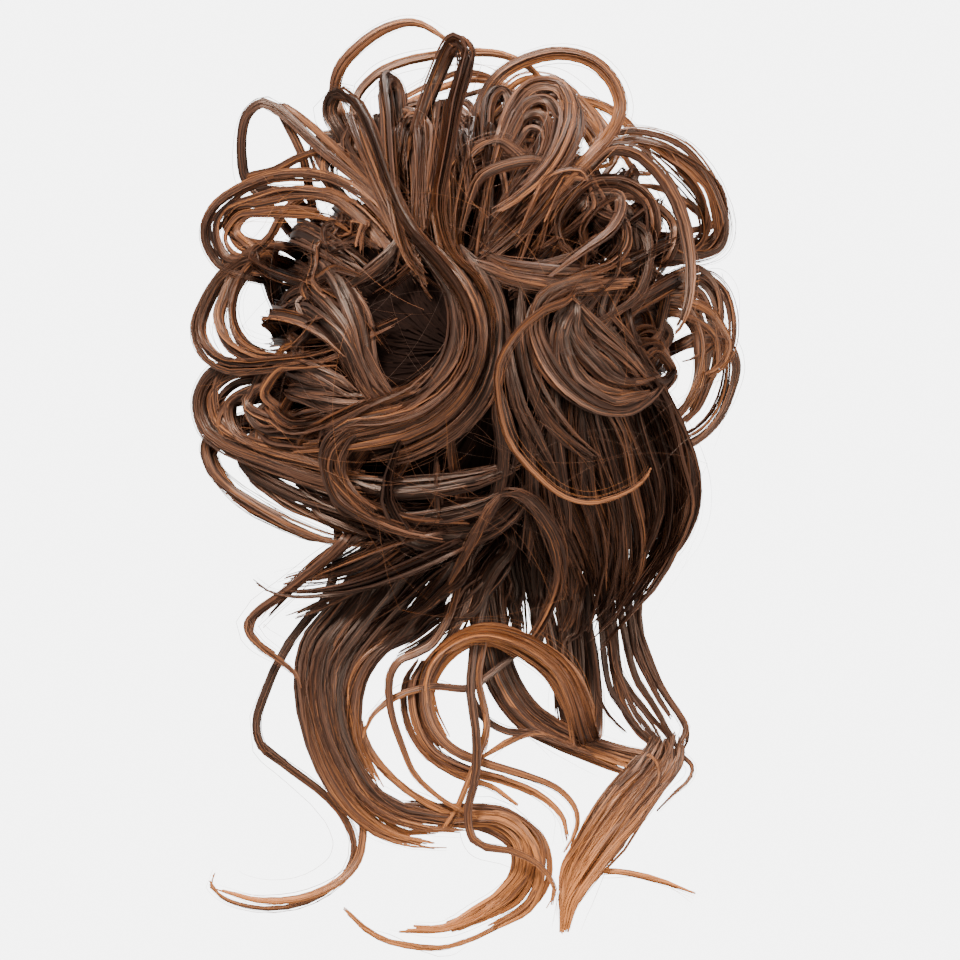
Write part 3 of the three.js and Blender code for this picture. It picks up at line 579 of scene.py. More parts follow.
def add_lock(hair, lock, row, hangs):
    """A lock's strands. They lie in a few thin wisps inside an oval, which twist slowly round its middle
    line, and wander. A wisp's strands keep close together and draw to a point at its end. A few strands
    leave their wisp and stand off the lock. A wide lock has a closed body inside, coloured darker than
    its strands as painted shade between them."""
    root, widths, warm, loose, stations = lock
    line, side, facing, half, thick, length = lock_line(root, widths, stations, row, hangs)
    breadth = np.mean(widths)
    rooted = root is not None
    bleaching = 1.9 if hangs and rooted else 1.2
    spots = step_places(line, length, breadth)
    wisps = int(round(1.2 + breadth * 0.85))
    middle_turn = 2 * np.pi * (np.arange(wisps) + 0.6 * rng.random(wisps)) * golden_share
    middle_away = np.sqrt((np.arange(wisps) + 0.5) / wisps)
    phase = rng.random((wisps, 4)) * 2 * np.pi
    tone = rng.random(wisps)
    tight = 0.00055 * min(1, 0.3 + breadth / 5) * (0.7 + 0.8 * rng.random(wisps))
    ragged = min(1, breadth / 6)
    late = 0.12 * ragged * rng.random(wisps)
    weight = rng.random(wisps) + 0.25
    weight /= weight.sum()
    twist = rng.normal(0, 0.45)
    for kind, each, width, apartness, unruly in strand_kinds:
        stray = kind == "stray"
        count = max(2, int(each * wisps))
        wisp = np.concatenate([np.arange(wisps), rng.choice(wisps, max(0, count - wisps), p=weight)])[:count]
        start = rng.random((count, 1)) * (0.3 if stray else 0.02 if rooted else 0.1)
        stop = 1 - late[wisp][:, None] - rng.random((count, 1)) ** 2 * 0.1 * ragged
        at = start + (stop - start) * spots[None]
        done = (at - start) / (stop - start)
        index = at * (len(line) - 1)
        low = np.minimum(index.astype(int), len(line) - 2)
        part = (index - low)[..., None]
        middle, aside, out, wide, deep = (values[low] * (1 - part) + values[low + 1] * part for values in
                                          (line, side, facing, half[:, None], thick[:, None]))
        swell = np.interp(at, [0, 0.15, 0.5, 0.85, 1], [0.5 * rooted + 0.2, 0.9, 1.05, 1.0, 0.7]) * loose
        turn = middle_turn[wisp][:, None] + twist * at
        wave = 2 * np.pi * at
        u = (middle_away[wisp][:, None] * np.cos(turn)
             + 0.2 * np.sin(0.8 * wave + phase[wisp, 0][:, None])
             + 0.06 * np.sin(2.1 * wave + phase[wisp, 1][:, None])) * swell * 0.85
        v = (middle_away[wisp][:, None] * np.sin(turn)
             + 0.3 * np.sin(0.9 * wave + phase[wisp, 2][:, None])) * swell
        own = rng.normal(0, apartness, (count, 2, 1)) * tight[wisp][:, None, None]
        spread = np.interp(done, [0, 0.5, 0.8, 1], [0.5, 2, 3, 4] if stray else [1, 1.1, 0.9, 0.3])
        jitter = rng.random((count, 2, 1)) * 2 * np.pi
        waver = rng.normal(0, unruly, (count, 2, 1)) * tight[wisp][:, None, None]
        reach = own * spread[:, None] + waver * np.sin((0.7 + 0.3 * jitter / np.pi) * wave[:, None] + jitter)
        across = wide * u[..., None] * aside + deep * v[..., None] * out * 1.2
        apart = reach[:, 0, :, None] * aside + reach[:, 1, :, None] * out
        outward = rng.normal(0, 0.25, (count, 1, 3)) + out
        if kind == "broad":
            outward = outward + 0.4 * apart / 0.0006 + 0.7 * across / (wide + 0.0005)
        taper = np.interp(done, [0, 0.1, 0.75, 1], [1 if rooted else 0.3, 1, 0.9, 0.3])
        warmth = warm[0] + (warm[1] - warm[0]) * at ** bleaching + (0.1 if stray else 0)
        own_tone = 0.22 + 0.24 * tone[wisp] + 0.32 * rng.random(count)
        hair.add(ribbons(middle + across + apart, outward, width * taper), warmth, own_tone, False)
    if breadth > 3.2 and loose < 1.45:
        at = 0.9 * spots
        pick = (at * (len(line) - 1)).astype(int)
        fit = body_share * np.interp(at, [0, 0.1, 0.75, 0.9], [0.6 if rooted else 0.05, 1, 0.9, 0.1])
        turn = np.linspace(0, 2 * np.pi, body_sides, endpoint=False)[None, :, None]
        body = (line[pick][:, None]
                + side[pick][:, None] * np.cos(turn) * (half[pick] * fit)[:, None, None]
                + facing[pick][:, None] * np.sin(turn) * (thick[pick] * fit)[:, None, None])
        # The body is coloured 0.15 below its strands' warmth: painted shade deep inside the lock.
        warmth = warm[0] + (warm[1] - warm[0]) * at ** bleaching - 0.15
        hair.add(body[None], warmth[None], rng.uniform(0.3, 0.7, (1, body_sides)), True, 8)


def between(count, first, second, widths, jitter=1.5, loose=1.3):
    """Thin locks that run between two paths: each is a random share of the way from the first one's
    stations to the second's, with a little of its own. A path is its root, its warmth and its stations."""
    rows = []
    spots = np.linspace(0, 1, 9)
    one, two = (np.stack([np.interp(spots, np.linspace(0, 1, len(path[2])), column)
                          for column in np.array(path[2], float).T], 1) for path in (first, second))
    for k in range(count):
        share = (k + rng.random()) / count
        drift = rng.normal(0, jitter, (1, 3)) + rng.normal(0, jitter * 0.6, (9, 3))
        root = None if first[0] is None else first[0] + (second[0] - first[0]) * share
        width, tone = rng.uniform(*widths), rng.uniform(-0.08, 0.12)
        warm = [a + (b - a) * share + tone for a, b in zip(first[1], second[1])]
        stop = rng.integers(7, 10)
        stations = (one + (two - one) * share + drift)[:stop]
        rows.append((root, (width, width, width * 0.8), warm, loose, stations))
    return rows


# A row of a table is a lock: the degrees round the binding where it is stitched, or None where it is
# tucked under others, its width at the start, middle and end in percent of the bun's radius, how warm
# its colour is at its start and end, how loose it is, and its stations as (across, up, lift) in percent
# of the bun's radius. Lift is measured in front of the bun's dome, or of the band where a group hangs.
swirl_hair = Hair()
swirl_locks = [
    # from the right, in to the middle
    (None, (5, 7, 5), (0.15, 0.4), 1.2, [(48, 38, 5), (40, 33, 8), (24, 26, 9), (14, 18, 10)]),
    (None, (5, 7, 5), (0.15, 0.4), 1.2, [(54, 30, 4), (46, 22, 8), (38, 12, 9), (32, 2, 10), (28, -8, 10)]),
    (None, (4, 6, 4), (0.15, 0.4), 1.2, [(58, 18, 4), (52, 9, 8), (47, 2, 9), (42, -8, 9), (40, -22, 9)]),
    # the band across the upper front, and the thin ones over it
    (None, (4, 5, 4), (0.35, 0.55), 1.1, [(0, 32, 12), (8, 29, 13), (15, 26, 13), (25, 24, 13), (35, 23, 13),
        (45, 23.5, 13), (55, 23.5, 12), (64, 25, 11)]),
    (None, (2, 2, 2), (0.35, 0.5), 1.3, [(4, 36, 12), (14, 31, 12), (26, 29, 12), (38, 28, 12), (50, 29, 11),
        (62, 33, 10)]),
    (None, (4, 6, 4), (0.2, 0.45), 1.4, [(36, 22, 12), (46, 9, 13), (55, 0, 13), (62, -6, 13),
        (67, -13, 12)]),
    (None, (5, 7, 5), (0.15, 0.35), 1.2, [(20, 22, 12), (20, 6, 13), (22, -8, 13), (28, -22, 13),
        (38, -34, 12), (50, -42, 10)]),
    (None, (5, 6, 4), (0.15, 0.35), 1.2, [(14, 12, 12), (16, -6, 13), (20, -22, 12), (28, -38, 11),
        (36, -52, 9)]),
    # from the left, in to the middle
    (None, (7, 10, 6), (0.2, 0.4), 1.2, [(-57, 35, 2), (-53, 32, 5), (-48, 27, 8), (-42, 18, 9), (-38, 8, 9),
        (-36, -4, 9), (-31, -14, 9), (-22, -21, 9)]),
    (None, (7, 10, 6), (0.2, 0.45), 1.2, [(-64, 14, 1), (-58, 14, 6), (-52, 10, 9), (-44, 2, 10),
        (-39, -8, 10), (-34, -17, 9), (-26, -24, 9), (-14, -27, 9)]),
    (None, (7, 10, 6), (0.25, 0.5), 1.2, [(-62, 22, 0), (-56, 20, 5), (-50, 15, 8), (-43, 7, 9),
        (-39, -3, 9), (-34, -12, 9), (-27, -20, 9), (-17, -24, 9)]),
    (None, (6, 9, 5), (0.2, 0.45), 1.2, [(-66, -5, 0), (-62, -6, 5), (-56, -7, 8), (-46, -12, 9),
        (-38, -18, 10)]),
    (None, (6, 9, 5), (0.15, 0.4), 1.2, [(-66, -15, 0), (-61, -16, 5), (-52, -18, 8), (-40, -20, 9),
        (-28, -18, 9)]),
    (None, (7, 10, 6), (0.25, 0.5), 1.2, [(-66, -28, 0), (-54, -25, 7), (-38, -22, 9), (-24, -18, 10),
        (-12, -14, 11)]),
    (None, (3, 4, 3), (0.15, 0.35), 1.4, [(-20, 46, 9), (-27, 35, 9), (-36, 27, 8), (-48, 21, 6)]),
    # the swirl in the middle, round a dark hollow, and the bands outside it
    # This lock is coloured warmer than those round it: painted highlight where light catches the swirl's
    # curve.
    (None, (9, 13, 8), (0.3, 0.6), 1.1, [(-14, 38, 12), (-4, 29, 14), (3, 17, 15), (5, 5, 15), (2, -8, 15),
        (-6, -19, 14), (-18, -27, 13), (-34, -31, 12), (-50, -34, 10), (-66, -37, 6)]),
    (None, (6, 9, 6), (0.2, 0.45), 1.2, [(-2, 38, 12), (8, 24, 13), (12, 10, 13), (11, -4, 13), (6, -18, 13),
        (-4, -30, 12), (-18, -38, 11), (-34, -42, 10)]),
    (None, (5, 7, 5), (0.2, 0.4), 1.2, [(-20, 40, 11), (-12, 31, 12), (-5, 20, 12), (-3, 8, 12),
        (-6, -4, 12), (-14, -14, 12), (-24, -20, 11)]),
    # the bands across the lower front
    (None, (5, 6, 5), (0.1, 0.3), 1.2, [(-52, -38, 2), (-42, -47, 7), (-28, -51, 9), (-12, -50, 10),
        (0, -48, 10), (12, -45, 10), (24, -40, 10)]),
    (None, (5, 7, 5), (0.1, 0.35), 1.2, [(-54, -31, 2), (-48, -34, 7), (-34, -32, 9), (-18, -28, 10),
        (-4, -22, 11), (8, -12, 11)]),
    (None, (5, 7, 5), (0.1, 0.3), 1.2, [(-44, -45, 2), (-36, -54, 5), (-24, -60, 6), (-8, -60, 7),
        (8, -56, 8), (20, -48, 9)]),
    (None, (5, 7, 5), (0.1, 0.3), 1.2, [(-34, -52, 2), (-26, -63, 4), (-10, -68, 5), (6, -66, 6),
        (18, -58, 7), (26, -46, 8)]),
    # down to the drape
    (None, (6, 7, 5), (0.1, 0.3), 1.2, [(10, -6, 11), (12, -24, 11), (14, -38, 10), (12, -52, 9),
        (6, -66, 7)]),
    (None, (5, 7, 5), (0.1, 0.3), 1.2, [(20, -24, 10), (24, -46, 9), (24, -60, 7), (22, -78, 5)]),
    (None, (5, 7, 5), (0.1, 0.3), 1.2, [(32, -8, 11), (32, -28, 10), (34, -46, 8), (36, -62, 6),
        (38, -82, 4)]),
    (None, (5, 7, 5), (0.1, 0.3), 1.2, [(42, -20, 10), (44, -40, 8), (46, -56, 6), (46, -78, 4)]),
]
swirl_locks += between(9,
    (None, (0.15, 0.45), [(39, 18, 13), (30, 9, 15), (29, -3, 16), (34, -13, 16), (44, -20, 16),
        (56, -21, 15), (66, -17, 13)]),
    (None, (0.15, 0.45), [(41, 18, 13), (42, 10, 15), (47, 0, 15), (55, -7, 14), (64, -11, 12),
        (73, -9, 10)]), (1.4, 2.6), 1, 1.3)
swirl_locks += between(7,
    (None, (0.25, 0.5), [(-27, -24, 13), (-40, -27, 14), (-50, -33, 14), (-53, -41, 14), (-50, -51, 14),
        (-41, -60, 13), (-26, -67, 12), (-5, -71, 10)]),
    (None, (0.2, 0.45), [(-32, -28, 13), (-40, -31, 14), (-44, -36, 14), (-45, -42, 14), (-42, -49, 14),
        (-33, -56, 13), (-18, -61, 12), (4, -63, 10)]), (1.4, 2.6), 0.8, 1.2)
for lock in swirl_locks:
    add_lock(swirl_hair, lock, "front", False)
flyaways, flyaway_steps, flyaway_width = 80, 20, 0.0001
run = np.linspace(0, 1, flyaway_steps)[None]
reach = rng.uniform(0.05, 0.11, (flyaways, 1))
bend = rng.choice([-1, 1], (flyaways, 1)) * rng.uniform(10, 26, (flyaways, 1))
place = bun_radius * rng.uniform(0.15, 0.85, (flyaways, 1))
side = rng.random((flyaways, 1)) * 2 * np.pi
heading = side + np.pi / 2 + rng.normal(0, 0.6, (flyaways, 1)) + bend * reach * run
x = place * np.cos(side) + np.cumsum(np.cos(heading), axis=1) * reach / flyaway_steps
z = place * np.sin(side) + np.cumsum(np.sin(heading), axis=1) * reach / flyaway_steps
inward = np.minimum(1, 0.98 * bun_radius / np.hypot(x, z))
x, z = x * inward, z * inward
lift = rng.uniform(0.008, 0.018, (flyaways, 1)) + 0.004 * np.sin(np.pi * run)
y = -dome_front(np.hypot(x, z), bun_radius * 1.15, 0, 2) - lift
outward = rng.normal(0, 0.4, (flyaways, 1, 3)) + np.array([0, -1, 0])
warmth = np.repeat(rng.uniform(0.25, 0.45, (flyaways, 1)), flyaway_steps, 1)
widths = flyaway_width * np.interp(run, [0, 0.5, 1], [1, 1, 0.4]) + 0 * x
swirl_hair.add(ribbons(np.stack([x, y, z], -1), np.broadcast_to(outward, (*x.shape, 3)), widths), warmth,
               rng.random(flyaways), False)
swirls = swirl_hair.build("swirl_hair", loose_contrast, loose_roughness, loose_gloss)
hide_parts("bun_core")
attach(swirls, "root")


# The locks at the crown: hair stitched to the back half of the binding, curled in loops that stand
# above the bun and swirl down over its front. The other groups of locks are made the same way.
def filler(count, roots, reaches, sweeps, lifts, widths, warm, ends=(15, 45)):
    """Thin curls between the main locks. Each rises at its root's angle to its reach, turns aside there
    by its sweep, and comes back in over the bun's front to its end."""
    rows = []
    for _ in range(count):
        spans = (roots, reaches, sweeps, ends, lifts, widths, (-0.1, 0.15), (-14, 14))
        root, reach, sweep, end, lift, width, tone, curl = (rng.uniform(*span) for span in spans)
        sweep *= rng.choice([-1, 1])
        share = np.linspace(0, 1, 9)
        away = np.interp(share, [0, 0.25, 0.37, 0.5, 0.75, 1],
                         [66, reach - 3, reach, reach - 4, 0.5 * (reach + end), end])
        turn = np.radians(root + sweep * np.interp(share, [0.12, 0.37, 0.6], [0, 0.5, 1])
                          + curl * np.maximum(0, share - 0.5) * 2)
        rise = lift + 12 * share
        stations = np.stack([away * np.cos(turn), away * np.sin(turn), rise], 1)
        own_warm = (warm[0] + tone, warm[1] + tone)
        rows.append((root, (width, width * 1.2, width * 0.8), own_warm, 1.5, stations))
    return rows


def make_locks(name, node, locks, row, hangs=False):
    """One piece of hair from a table of locks, in the place of one solid of the model."""
    hair = Hair()
    for lock in locks:
        add_lock(hair, lock, row, hangs)
    made = hair.build(name, loose_contrast, loose_roughness, loose_gloss)
    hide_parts(node)
    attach(made, "root")


rng = np.random.default_rng(21)
make_locks("crown_hair", "crown_locks", [
    (105, (8, 13, 9), (0.2, 0.45), 1, [(-22, 80, -2), (-24, 78, 8), (-24, 64, 10)]),
    (95, (7, 11, 8), (0.2, 0.45), 1, [(-4, 80, -2), (-1, 78, 8), (1, 60, 9)]),
    (100, (4.5, 7, 5), (0.25, 0.55), 1, [(-17, 78, 4), (-10, 100, 6), (-3, 113, 10), (1, 108, 16),
        (-3, 92, 20), (-6, 72, 20), (-9, 50, 18), (-4, 34, 17), (6, 24, 16), (11, 8, 15), (9, -10, 14)]),
    (110, (5, 7, 6.5), (0.2, 0.5), 1, [(-24, 82, 2), (-26, 97, 5), (-29, 98, 11), (-28, 85, 16),
        (-27, 68, 16), (-24, 46, 14), (-18, 30, 13), (-6, 20, 12)]),
    (122, (3, 9, 6.5), (0.2, 0.55), 1, [(-45, 78, 0), (-50, 88, 4), (-47, 95, 8), (-41, 92, 13),
        (-34, 80, 17), (-28, 62, 18), (-20, 44, 18), (-8, 30, 18), (1, 16, 18), (3, 2, 18), (-3, -12, 17),
        (-15, -22, 16), (-30, -26, 15), (-42, -27, 15), (-50, -34, 15), (-51, -46, 14), (-44, -56, 13),
        (-30, -63, 12)]),
    # This thin high arc is warmer: partly the hair's copper colour, partly painted light shining through thin
    # hair at the rim.
    (116, (2.4, 2.6, 2.6), (0.5, 0.7), 0.6, [(-44, 84, -6), (-48, 95, -4), (-46, 104, -2), (-39, 112, 0),
        (-29, 118.5, 2), (-19, 120.5, 4), (-11, 117, 7), (-3, 110, 12)]),
    # This lock is coloured warmer than its neighbours: painted highlight where light catches it.
    (114, (5, 7, 5), (0.3, 0.5), 1.2, [(-37, 78, -2), (-40, 86, 3), (-35, 72, 9), (-28, 54, 11),
        (-21, 38, 12), (-14, 28, 12)]),
    (110, (5, 7, 5), (0.2, 0.4), 1.2, [(-30, 80, -2), (-31, 88, 3), (-29, 68, 8), (-26, 50, 10),
        (-24, 36, 11), (-27, 24, 11)]),
    (103, (5, 7, 5), (0.2, 0.45), 1.2, [(-17, 78, -2), (-17, 86, 3), (-16, 64, 9), (-17, 48, 10),
        (-18, 32, 11), (-14, 20, 11)]),
    # This lock is coloured warmer than its neighbours: painted highlight where light catches it.
    (97, (5, 7, 5), (0.3, 0.5), 1.2, [(-9, 80, -2), (-8, 90, 3), (-10, 68, 7), (-13, 50, 9), (-16, 34, 9),
        (-24, 26, 9), (-34, 20, 9)]),
    (89, (5, 7, 5), (0.25, 0.5), 1.2, [(2, 78, -2), (3, 86, 3), (0, 64, 8), (-3, 46, 10), (-2, 34, 11),
        (6, 24, 11)]),
    (84, (5, 6, 5), (0.2, 0.4), 1.2, [(8, 74, -2), (10, 82, 3), (8, 60, 7), (4, 44, 9), (0, 32, 10)]),
] + filler(22, (68, 122), (80, 98), (4, 16), (-14, 2), (2, 3.5), (0.2, 0.45), (20, 55))
# These thin outer loops are warmer: partly the hair's copper colour, partly painted light shining through
# thin hair at the rim.
+ filler(12, (66, 102), (93, 106), (14, 36), (-24, -10), (0.8, 1.6), (0.55, 0.75), (66, 84)), "back")

# The loops at the upper left: the ear-shaped loop and the nested ovals under it, stitched to the
# binding's back half. Their ends swirl in over the bun's front.
make_locks("upper_left_hair", "upper_left_loops", [
    (145, (6, 10, 9), (0.15, 0.4), 1, [(-62, 43, -5), (-58, 42, 3), (-47, 36, 5), (-32, 26, 4)]),
    (138, (2.6, 3.2, 4.6), (0.1, 0.45), 0.9, [(-66, 58, -6), (-80, 62, -6), (-82.5, 75, -4), (-80, 87, -2),
        (-74, 91, 0), (-66, 86, 3), (-56, 76, 6), (-44, 66, 9), (-32, 56, 9), (-20, 44, 8)]),
    (150, (2.2, 2.6, 3.5), (0.3, 0.5), 1, [(-66, 38, -6), (-80, 40, -5), (-88, 46, -3), (-85, 53, 0),
        (-74, 54, 3), (-60, 57, 6), (-46, 54, 7), (-34, 42, 7), (-26, 30, 6)]),
    (160, (2.6, 3, 4.5), (0.25, 0.5), 1, [(-80, 27, -4), (-91, 32, -3), (-96, 42, 0), (-93, 52, 3),
        (-84, 59, 5), (-70, 64, 7), (-54, 64, 9), (-40, 58, 9), (-28, 46, 9), (-18, 34, 8)]),
    # The thin outer loops from here on are warmer: partly the hair's copper colour, partly painted light
    # shining through thin hair at the rim.
    (142, (2, 2, 2), (0.4, 0.6), 1.3, [(-60, 72, -6), (-68, 90, -4), (-60, 85, 0), (-50, 76, 4),
        (-42, 68, 6), (-30, 56, 8)]),
    (154, (2, 2.5, 2), (0.4, 0.6), 1.4, [(-74, 28, -8), (-88, 31, -6), (-80, 36, -3), (-72, 42, 0),
        (-67, 51, 3), (-59, 57, 6), (-50, 58, 8), (-38, 52, 8)]),
    (158, (1.5, 2, 1.5), (0.4, 0.6), 1.4, [(-76, 36, -4), (-84, 44, -2), (-80, 50, 0), (-66, 50, 3),
        (-50, 48, 5), (-40, 42, 6)]),
    (148, (1.5, 2, 1.5), (0.45, 0.6), 1.4, [(-74, 56, -8), (-80, 63, -5), (-70, 66, -1), (-60, 71, 2),
        (-50, 73, 4), (-40, 70, 5)]),
] + filler(8, (125, 160), (60, 68), (8, 22), (-10, 2), (2, 3.5), (0.15, 0.4), (40, 55))
+ between(5,
    (156, (0.3, 0.5), [(-76, 28, -6), (-89, 32, -4), (-94, 43, -2), (-90, 53, 0), (-80, 58, 3), (-66, 62, 6),
        (-50, 62, 8), (-38, 54, 8), (-26, 42, 8)]),
    (152, (0.3, 0.5), [(-70, 36, -6), (-82, 40, -4), (-84, 47, -2), (-76, 51, 0), (-64, 51, 3), (-52, 50, 5),
        (-40, 44, 6), (-30, 34, 6)]), (1, 1.7), 1.3, 1.1), "back")

# The loops at the left: a wide curl that turns back over the bun, and a folded lock inside it.
# They are stitched to the binding's back half.
make_locks("left_hair", "left_loops", [
    (172, (5, 9, 9), (0.15, 0.4), 1, [(-66, 14, -4), (-62, 18, 3), (-52, 20, 5), (-34, 16, 4)]),
    (168, (3.5, 4.5, 7), (0.25, 0.5), 1.1, [(-76, 34, -6), (-88, 28, -4), (-95, 17, -2), (-97.5, 8, 0),
        (-94, 0, 2), (-85, -5, 4), (-68, -4, 6), (-50, -1, 8), (-36, 6, 8), (-22, 12, 8)]),
    (178, (0.6, 6, 5), (0.25, 0.5), 1.1, [(-70, 9, 0), (-73, 12, 5), (-62, 11, 9), (-50, 5, 10),
        (-38, -8, 10)]),
    (170, (2.5, 3, 2.5), (0.3, 0.55), 1.4, [(-76, 30, -8), (-86, 22, -6), (-90, 12, -4), (-86, 2, -1),
        (-74, -4, 3), (-58, -6, 6), (-42, -2, 7)]),
    (164, (3, 4, 3), (0.2, 0.5), 1.3, [(-72, 39, -4), (-78, 34, -2), (-70, 28, 2), (-58, 24, 6),
        (-46, 18, 8), (-34, 8, 8), (-26, -4, 8)]),
] + filler(5, (165, 190), (60, 65), (8, 20), (-8, 2), (2, 3.5), (0.15, 0.4), (42, 55))
+ between(5,
    (167, (0.25, 0.5), [(-76, 38, -6), (-86, 31, -5), (-92, 20, -3), (-94, 9, -1), (-90, 1, 1), (-80, -4, 3),
        (-64, -4, 6), (-46, 0, 8)]),
    (172, (0.25, 0.5), [(-72, 34, -6), (-79, 28, -4), (-84, 18, -2), (-83, 8, 0), (-76, 0, 2), (-66, -2, 4),
        (-54, 0, 6), (-42, 4, 7)]), (1.2, 2.4), 1, 1.1), "back")

# The loops at the lower left: a wide curl that crosses the bun's front, and thinner ones round it.
# They are stitched to the binding's back half.
make_locks("lower_left_hair", "lower_left_loops", [
    (198, (6, 10, 9), (0.1, 0.35), 1, [(-72, -27, -4), (-64, -32, 3), (-48, -38, 3), (-28, -38, 3),
        (-8, -34, 3)]),
    (188, (5, 7, 7.5), (0.25, 0.5), 1.1, [(-80, -6, -4), (-92, -9, -2), (-97, -18, 0), (-95, -28, 2),
        (-86, -35, 4), (-72, -40, 6), (-56, -46, 7), (-38, -50, 6), (-20, -51, 6), (0, -48, 6),
        (18, -42, 6)]),
    (194, (1, 7, 6), (0.2, 0.45), 1, [(-70, -22, 2), (-62, -28, 8), (-50, -26, 9), (-36, -20, 10),
        (-20, -14, 10), (-8, -4, 10)]),
    (202, (2.6, 3.4, 5), (0.3, 0.55), 1.1, [(-84, -26, -6), (-95, -34, -5), (-93, -44, -3), (-85, -52, -1),
        (-72, -60, 1), (-58, -67, 3), (-44, -71, 5), (-28, -70, 7)]),
    (206, (5, 6, 5), (0.25, 0.5), 1.1, [(-74, -31, -6), (-82, -36, -2), (-76, -41, 2), (-62, -46, 5),
        (-48, -51, 6), (-30, -57, 6), (-14, -61, 6)]),
    (211, (4, 5, 4), (0.2, 0.4), 1.1, [(-62, -41, -4), (-60, -48, 1), (-49, -55, 4), (-36, -60, 5),
        (-20, -65, 6), (0, -67, 6)]),
    (216, (5, 6, 5), (0.15, 0.4), 1.1, [(-56, -47, -2), (-55, -56, 1), (-43, -62, 4), (-28, -68, 5),
        (-8, -73, 6)]),
    (208, (3, 5, 4), (0.2, 0.45), 1.2, [(-76, -36, -5), (-80, -42, -2), (-72, -48, 2), (-60, -54, 4),
        (-47, -58, 5), (-32, -63, 6), (-16, -68, 6)]),
    # This thin outer loop is warmer: partly the hair's copper colour, partly painted light shining through
    # thin hair at the rim.
    (200, (2.5, 3, 2), (0.4, 0.6), 1.4, [(-84, -30, -8), (-94, -38, -6), (-90, -47, -4), (-82, -56, -2),
        (-70, -63, 0), (-56, -69, 2), (-44, -70, 3)]),
    (192, (3, 4, 3), (0.2, 0.5), 1.3, [(-76, -14, -2), (-86, -20, 0), (-84, -30, 3), (-74, -36, 6),
        (-60, -40, 8), (-46, -44, 8), (-30, -46, 8)]),
] + filler(12, (190, 228), (62, 76), (8, 22), (-14, 2), (2, 3.5), (0.15, 0.45), (35, 55))
+ between(6,
    (187, (0.2, 0.5), [(-78, -4, -4), (-89, -7, -2), (-94, -17, 0), (-92, -27, 2), (-84, -33, 4),
        (-70, -38, 6), (-54, -43, 7), (-36, -47, 7)]),
    (196, (0.2, 0.5), [(-76, -22, -4), (-87, -25, -2), (-90, -32, 0), (-84, -38, 2), (-74, -43, 4),
        (-60, -48, 5), (-46, -52, 6), (-30, -55, 6)]), (1.6, 3), 1, 1.1)
+ between(6,
    (190, (0.15, 0.45), [(-70, -8, -2), (-79, -11, 0), (-82, -19, 3), (-76, -26, 6), (-64, -28, 8),
        (-50, -27, 9), (-36, -23, 9)]),
    (200, (0.15, 0.45), [(-66, -22, -2), (-73, -25, 0), (-75, -32, 3), (-67, -38, 6), (-54, -41, 8),
        (-40, -41, 8), (-26, -38, 8)]), (2, 3.5), 1.2, 1.2)
+ between(5,
    (203, (0.25, 0.5), [(-80, -34, -4), (-85, -40, -2), (-81, -46, 0), (-74, -51, 1), (-64, -56, 2),
        (-52, -61, 3), (-38, -66, 4), (-24, -70, 5)]),
    (207, (0.2, 0.45), [(-74, -36, -4), (-76, -43, -2), (-71, -51, 0), (-63, -58, 1), (-54, -63, 2),
        (-46, -67, 3), (-34, -70, 4), (-20, -73, 5)]), (1, 2.2), 0.8, 1.1), "back")

